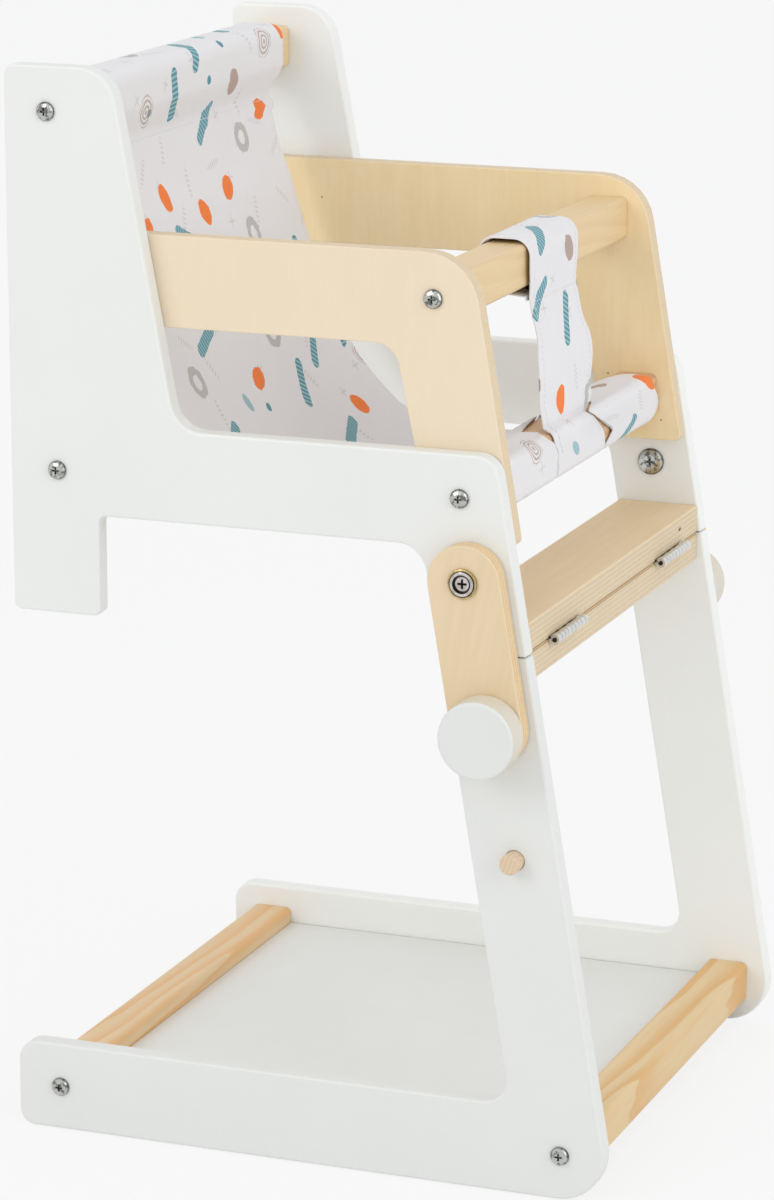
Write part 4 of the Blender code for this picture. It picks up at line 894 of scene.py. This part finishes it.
def strap_path():
    """The crotch strap in side view: from under the front bar up and round the tray bar."""
    loop, under = hanging_path()[1:]
    path = along_loop(loop, under, SLEEVE_ARC_STEPS, 1)
    path[0] += (path[1] - path[0]).normalized() * STRAP_START_GAP
    knot = TRAY_BAR + Vector((STRAP_KNOT_AHEAD, -STRAP_KNOT_DROP))
    rise = knot - path[-1]
    bow = Vector((rise.y, -rise.x))
    middle = [path[-1] + rise * way + bow * out for way, out in STRAP_BOW_SHARES]
    path += resampled(spline([path[-1], *middle, knot]), CLOTH_STEP)[1:]
    seam = len(path) - 1
    sleeve = sleeve_loop(TRAY_BAR, STRAP_SLEEVE_SLACK, STRAP_SLEEVE_ROUND)
    down = (path[-2] - knot).normalized()
    rear_knot = knot + Vector((down.y, -down.x)) * LAYER
    ahead = touch(sleeve, knot, -1)
    behind = touch(sleeve, rear_knot, 1)
    path += straight(knot, sleeve[ahead])[1:-1]
    path += along_loop(sleeve, ahead, behind, 1)
    path += straight(sleeve[behind], rear_knot)[1:-1]
    path += straight(rear_knot, rear_knot + down * STRAP_FLAP)
    return path, seam


def tab_length():
    """The way along the sling from below the front bar to the ends of its tabs."""
    path, _, last, _ = sling_path()
    return along_lengths(path[last:])[-1]


TAB_LENGTH = tab_length()


def smooth(mesh):
    bmesh.ops.recalc_face_normals(mesh, faces=mesh.faces)
    for face in mesh.faces:
        face.smooth = True


def way_out(grid, i, j):
    """The way out of a sheet at a point of its grid."""
    along = grid[min(i + 1, len(grid) - 1)][j] - grid[max(i - 1, 0)][j]
    across = grid[i][min(j + 1, len(grid[0]) - 1)] - grid[i][max(j - 1, 0)]
    return along.cross(across).normalized()


def cloth_piece(name, points, material, flat, thickness, kept=lambda i, j: True):
    """A closed sheet from a grid of points, with UVs in metres of the flat cloth."""
    rows, columns = len(points), len(points[0])
    mesh = bmesh.new()
    uv = mesh.loops.layers.uv.new("cloth")
    skins = ([], [])
    place = {}
    for i in range(rows):
        for skin in skins:
            skin.append([])
        for j in range(columns):
            out = way_out(points, i, j) * thickness(i, j) / 2
            for skin, way in zip(skins, (1, -1)):
                vert = mesh.verts.new(points[i][j] + out * way)
                skin[-1].append(vert)
                place[vert] = flat(i, j)
    cells = {(i, j) for i in range(rows - 1) for j in range(columns - 1) if kept(i, j)}
    for i, j in sorted(cells):
        around = [(i, j), (i + 1, j), (i + 1, j + 1), (i, j + 1)]
        mesh.faces.new([skins[0][a][b] for a, b in around])
        mesh.faces.new([skins[1][a][b] for a, b in reversed(around)])
        beyond = [(i, j - 1), (i + 1, j), (i, j + 1), (i - 1, j)]
        for k, next_cell in enumerate(beyond):
            if next_cell not in cells:
                (a, b), (c, d) = around[k], around[(k + 1) % 4]
                mesh.faces.new((skins[0][c][d], skins[0][a][b], skins[1][a][b], skins[1][c][d]))
    loose = [vert for vert in mesh.verts if not vert.link_faces]
    bmesh.ops.delete(mesh, geom=loose, context="VERTS")
    smooth(mesh)
    for vert in mesh.verts:
        for loop in vert.link_loops:
            loop[uv].uv = place[vert]
    for edge in mesh.edges:
        edge.smooth = edge.calc_face_angle() < SHARP_ANGLE
    return mesh_object(name, mesh, material)


def columns_between(half, step):
    """Even places from -1 to 1, no further apart than a step is on the half width."""
    count = math.ceil(half * 2 / step)
    return [-1 + 2 * i / count for i in range(count + 1)]


def cloth_thickness(free, hemmed):
    """The sheet's thickness some way from a free edge."""
    if free < SAME_SHARE:
        return EDGE_THICKNESS
    return CLOTH_THICKNESS + (HEM_RISE * 2 if hemmed else 0)


def gathers(x, spot, knot, seed):
    """How far the cloth stands out in the small folds that a seam draws it into."""
    away = (spot - knot).length / GATHER_REACH
    broad = noise.noise(Vector((x * 85, seed, 0.5)))
    fine = noise.noise(Vector((x * 210, seed, 7.5)))
    return (broad + 0.6 * fine) * GATHER_HEIGHT * math.exp(-away * away)


def thread_ring(mesh, middle, along, out, radius):
    """A ring of corners round a thread."""
    side = along.cross(out).normalized()
    ring = []
    for corner in range(STITCH_CORNERS):
        angle = math.tau * corner / STITCH_CORNERS
        reach = (side * math.cos(angle) + out * math.sin(angle)) * STITCH_RADIUS * radius
        ring.append(mesh.verts.new(middle + reach))
    return ring


def stitches(name, rows, material):
    """Short threads along polylines, each a rounded bit of yarn that dips in at both ends."""
    mesh = bmesh.new()
    for row, outs in rows:
        lengths = along_lengths(row)
        count = int(lengths[-1] / STITCH_PITCH)
        for k in range(count):
            start = (k + 0.5) * lengths[-1] / count - STITCH_LENGTH / 2
            rings = []
            for part, radius, rise in STITCH_FORM:
                spot, i = spot_at(row, lengths, start + STITCH_LENGTH * part)
                along, out = (row[i + 1] - row[i]).normalized(), outs[i].normalized()
                middle = spot + out * (CLOTH_THICKNESS / 2 + HEM_RISE + STITCH_RADIUS * rise)
                rings.append(thread_ring(mesh, middle, along, out, radius))
            for a, b in zip(rings, rings[1:]):
                for c in range(STITCH_CORNERS):
                    d = (c + 1) % STITCH_CORNERS
                    mesh.faces.new((a[c], a[d], b[d], b[c]))
            mesh.faces.new(list(reversed(rings[0])))
            mesh.faces.new(rings[-1])
    smooth(mesh)
    made = mesh_object(name, mesh, material)
    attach(made, "seat")


def thread():
    """Twisted sewing thread."""
    look = Look("thread", THREAD_COLOUR, 0.75)
    twist = look.noise(look.vector("MULTIPLY", look.where, (4000.0, 4000.0, 4000.0)), 1.0, 1.0)
    tone = look.mix(twist, THREAD_COLOUR, shaded(THREAD_COLOUR, 0.9))
    return look.finish(tone, None, look.bump(twist, 0.00005, 0.4))


def seam_row(grid, i, start, end, sign):
    """A crosswise polyline of the sheet at row i, with the way out on one of its sides."""
    points = [grid[i][j] for j in range(start, end)]
    return points, [way_out(grid, i, j) * sign for j in range(start, end)]


def hem_row(grid, shares, side, hem, first, last, sign):
    """A lengthwise polyline of the sheet near the inner edge of a side's hem."""
    wanted = side * (1 - hem * HEM_STITCH_SHARE)
    j = max(k for k in range(len(shares) - 1) if shares[k] <= wanted)
    way = (wanted - shares[j]) / (shares[j + 1] - shares[j])
    points = [grid[i][j].lerp(grid[i][j + 1], way) for i in range(first, last)]
    return points, [way_out(grid, i, j) * sign for i in range(first, last)]


def tab_edges(side, where):
    """The inner and outer edge of a front tab, a share of the way along it."""
    inner = STRAP_HALF_WIDTH * share_at(TAB_FAR_SHARES if side > 0 else TAB_NEAR_SHARES, where)
    return inner, SLING_HALF_WIDTH * share_at(TAB_OUTER_SHARES, where)


def strap_edge(side, spot, where):
    """How far out the strap's edge lies: by the way round the front bar, then by height."""
    if where < STRAP_BAR_SHARE:
        table = STRAP_FAR_SHARES if side > 0 else STRAP_NEAR_SHARES
        return STRAP_HALF_WIDTH * share_at(table, where)
    rise = (spot.y - FRONT_BAR.y) / (TRAY_BAR.y - FRONT_BAR.y)
    return STRAP_HALF_WIDTH * share_at(STRAP_WIDTH_SHARES, rise)


def sling_grid(path, first, last, shares, tab_share):
    """The seat cloth's points: a row for each point of its path, with one for each share."""
    lengths = along_lengths(path)
    lowest = min(point.y for point in path)
    knot = path[first]
    down = (path[first + 1] - knot).normalized()
    forward = Vector((-down.y, down.x))
    grid = []
    for i, spot in enumerate(path):
        clear = eased((spot - knot).length / SLING_DRAW_REACH) if i <= first + 2 else 0.0
        half = SLING_HALF_WIDTH - SLING_DRAW_IN * (1 - clear)
        tab = max(0.0, (lengths[i] - lengths[last]) / (lengths[-1] - lengths[last]))
        behind = FRONT_BAR.x - spot.x
        free = clamped((knot.y - spot.y) / (knot.y - lowest))
        free *= clamped((behind - SLING_FREE_END) / SLING_DROP_OFF)
        curl = SLING_EDGE_CURL * eased((behind - SLING_CURL_END) / SLING_CURL_FADE)
        hanging = math.sin(math.pi * clamped((i - first) / (last - first))) ** 2
        row = []
        for share in shares:
            x = half * share
            if i > last:
                inner, outer = tab_edges(share, tab)
                outward = (abs(share) - tab_share) / (1 - tab_share)
                x = math.copysign(inner + (outer - inner) * outward, share)
                if outward < 0:
                    x = inner * share / tab_share
            lift = curl * share**4 - SLING_SAG * (1 - share**2)
            ripple = noise.noise(Vector((x * 22, lengths[i] * 9, 4.0))) * SLING_RIPPLE * hanging
            fold = forward * gathers(x, spot, knot, 3.0) * (1 - eased((abs(share) - 0.8) / 0.2))
            row.append(Vector((x, -spot.x - fold.x, spot.y + fold.y + lift * free + ripple)))
        grid.append(row)
    return grid


def sling(material, yarn):
    """The seat cloth with its side hems, drawn in below its seam, with two tabs at the front."""
    path, first, last, seam = sling_path()
    lengths = along_lengths(path)
    shares = columns_between(SLING_HALF_WIDTH, SLING_COLUMN)
    tab_share = min(share for share in shares if share >= TAB_SHARE)
    hem = HEM_WIDTH / SLING_HALF_WIDTH
    grid = sling_grid(path, first, last, shares, tab_share)

    def kept(i, j):
        return i < last or min(abs(shares[j]), abs(shares[j + 1])) > tab_share - SAME_SHARE

    def thickness(i, j):
        free = 1 - abs(shares[j])
        if i > last:
            free = min(free, abs(abs(shares[j]) - tab_share))
        return cloth_thickness(free, abs(shares[j]) > 1 - hem)

    def flat(i, j):
        return shares[j] * SLING_HALF_WIDTH, lengths[i]

    made = cloth_piece("sling_cloth", grid, material, flat, thickness, kept)
    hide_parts("sling")
    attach(made, "seat")
    rows = []
    for sign in (1, -1):
        rows += [hem_row(grid, shares, side, hem, first + 1, last, sign) for side in (1, -1)]
        rows.append(seam_row(grid, first + 1, 1, len(shares) - 1, sign))
    tab_start = shares.index(tab_share)
    for start, end in ((1, len(shares) - tab_start), (tab_start, len(shares) - 1)):
        rows.append(seam_row(grid, seam + 1, start, end, -1))
    stitches("sling_stitches", rows, yarn)


def crotch_strap(material, yarn):
    """The strap from the front bar to the tray bar, with hemmed edges."""
    path, seam = strap_path()
    lengths = along_lengths(path)
    knot = path[seam]
    shares = columns_between(STRAP_HALF_WIDTH, STRAP_COLUMN)
    hem = STRAP_HEM_WIDTH / STRAP_HALF_WIDTH
    across, along = STRAP_PRINT_OFFSET
    grid = []
    for spot, length in zip(path, lengths):
        near, far = (strap_edge(side, spot, length / TAB_LENGTH) for side in (-1, 1))
        row = []
        for share in shares:
            x = (far if share > 0 else near) * share
            fold = gathers(x, spot, knot, 11.0) * 0.7
            row.append(Vector((x, -spot.x - fold, spot.y)))
        grid.append(row)

    def thickness(i, j):
        past_bar = lengths[i] >= TAB_LENGTH * STRAP_BAR_SHARE
        return cloth_thickness(1 - abs(shares[j]), past_bar and abs(shares[j]) > 1 - hem)

    def flat(i, j):
        return shares[j] * STRAP_HALF_WIDTH + across, lengths[i] + along

    made = cloth_piece("strap_cloth", grid, material, flat, thickness)
    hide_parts("crotch_strap")
    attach(made, "seat")
    start, end = STRAP_BARE_ROWS[0], len(path) - STRAP_BARE_ROWS[1]
    rows = [
        hem_row(grid, shares, side, hem, start, end, sign) for sign in (1, -1) for side in (1, -1)
    ]
    rows.append(seam_row(grid, seam - 1, 1, len(shares) - 1, -1))
    stitches("strap_stitches", rows, yarn)


# Dressing the CAD nodes


def dress(name, material):
    """Gives a CAD node its finish."""
    node = nodes[name]
    if not node.material_slots:
        node.data.materials.append(material)
    for held in node.material_slots:
        held.material = material


def dress_paint():
    paint = white_paint("white_paint")
    # The knob's paint carries a painted reflection of warm wood on its rim wall.
    knob_paint = white_paint("knob_paint", KNOB_SHARE, KNOB_WALL_REFLECTION)
    base_paint = white_paint("base_paint", BASE_SHARE)
    inner_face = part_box("base_side_left")[0][0]
    # The shelf: a darker copy of the paint, painted shade from the seat above, with painted shade
    # along its joint.
    shelf_shaded_paint = white_paint("shelf_shaded_paint", BASE_SHARE, joint=inner_face)
    # Painted light: a lighter copy of the paint for the far side.
    far_lit_paint = white_paint("far_lit_paint", FAR_LIGHT_SHARE)
    for name in nodes:
        if name.startswith("latch_knob"):
            dress(name, knob_paint)
        elif name == "base_shelf":
            dress(name, shelf_shaded_paint)
        elif name.startswith(("base_side", "seat_side")):
            near = base_paint if name.startswith("base") else paint
            dress(name, far_lit_paint if name.endswith("left") else near)


def dress_metal():
    nickel = metal("nickel", NICKEL_COLOUR, 0.22)
    heads = metal("nickel_heads", HEAD_COLOUR, 0.16, HEAD_DARK_COLOUR)
    # Painted shade: the hinge pins are near black where the pin hole shows dark.
    pin_hole_shade = metal("pin_hole_shade", PIN_HOLE_SHADE_COLOUR, 0.4)
    bolt_finish = bolt_metal()
    for name in nodes:
        if "screw" in name or "pivot_nut" in name:
            dress(name, heads)
        elif "hinge_pin" in name:
            dress(name, pin_hole_shade)
        elif "hinge" in name:
            dress(name, nickel)
        elif "pivot_bolt" in name:
            dress(name, bolt_finish)


def dress_plywood():
    for name in nodes:
        if name.startswith(("armrest", "latch_link")):
            low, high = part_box(name)
            inside = -math.copysign(1.0, low[0] + high[0])
            if name.startswith("armrest"):
                looks = (ARMREST_GRAIN, ARMREST_FACE, ARMREST_EDGE, (inside, *ARMREST_INNER_LIT_FACE))
            else:
                looks = (LINK_GRAIN, LINK_FACE, LINK_EDGE, None, LINK_TURN)
            dress(name, plywood(name, 0, low[0], high[0] - low[0], PLY_LAYERS, *looks))
    for name in ("base_board", "seat_board"):
        low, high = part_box(name)
        looks = (BOARD_GRAIN, BOARD_FACE, BOARD_EDGE)
        dress(name, plywood(name, 2, low[2], high[2] - low[2], BOARD_LAYERS, *looks))


def dress_pine():
    for name, (pith, slope, finish) in BAR_WOOD.items():
        low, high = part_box(name)
        centre = (Vector(low) + Vector(high)) / 2
        dress(name, pine(name, centre, pith, slope, *finish))
    peg_wood = pine("peg_pine", Vector((0, 0, 0.2)), (0.02, 0.03), (0.3, 0.0), *PINE_PEG)
    for name in nodes:
        if "peg" in name or "dowel" in name:
            dress(name, peg_wood)


# Stage


def lamp(name, place, power, size, colour):
    light = bpy.data.lights.new(name, "AREA")
    light.energy = power
    light.size = size
    light.color = colour
    made = placed(name, light)
    made.location = place
    aim = Vector((0, 0, LAMP_AIM_HEIGHT)) - Vector(place)
    made.rotation_euler = aim.to_track_quat("-Z", "Y").to_euler()


def studio_world():
    """Soft light from all round, and the backdrop where a ray shows it."""
    world = bpy.data.worlds.new("studio")
    bpy.context.scene.world = world
    graph = Graph(world)
    soft = graph.add("Background", {0: SKY_COLOUR, 1: SKY_STRENGTH}).outputs[0]
    shown = graph.add("Background", {0: BACKDROP_COLOUR}).outputs[0]
    pick = graph.add("MixShader", {0: graph.direct(), 1: soft, 2: shown})
    graph.add("OutputWorld", {0: pick.outputs[0]})


def pale_floor():
    """A floor that looks like the backdrop but for soft shadows."""
    material = bpy.data.materials.new("floor")
    graph = Graph(material)
    glow = graph.add("Emission", {0: BACKDROP_COLOUR, 1: FLOOR_GLOW}).outputs[0]
    catcher = graph.add("BsdfDiffuse", {0: SHADOW_COLOUR}).outputs[0]
    shown = graph.add("AddShader", {0: glow, 1: catcher}).outputs[0]
    ground = graph.add("BsdfDiffuse", {0: GROUND_COLOUR}).outputs[0]
    pick = graph.add("MixShader", {0: graph.direct(), 1: ground, 2: shown})
    graph.add("OutputMaterial", {0: pick.outputs[0]})
    mesh = bmesh.new()
    bmesh.ops.create_grid(mesh, x_segments=1, y_segments=1, size=FLOOR_REACH)
    floor = mesh_object("floor", mesh, material)
    floor.location.z = -FLOOR_DROP


def stage_all():
    """The studio, its lamps and the camera."""
    scene = bpy.context.scene
    scene.view_settings.view_transform = "Standard"
    studio_world()
    pale_floor()
    for values in LAMPS:
        lamp(*values)
    camera = bpy.data.cameras.new("camera")
    camera.lens = CAMERA_LENS
    camera.sensor_width = SENSOR
    made = placed("camera", camera)
    made.location = CAMERA_PLACE
    made.rotation_euler = (math.radians(90 + CAMERA_PITCH), 0, math.radians(CAMERA_YAW - 90))
    scene.camera = made


dress_paint()
dress_metal()
dress_plywood()
dress_pine()
cotton = printed_cloth()
yarn = thread()
sling(cotton, yarn)
crotch_strap(cotton, yarn)
stage_all()
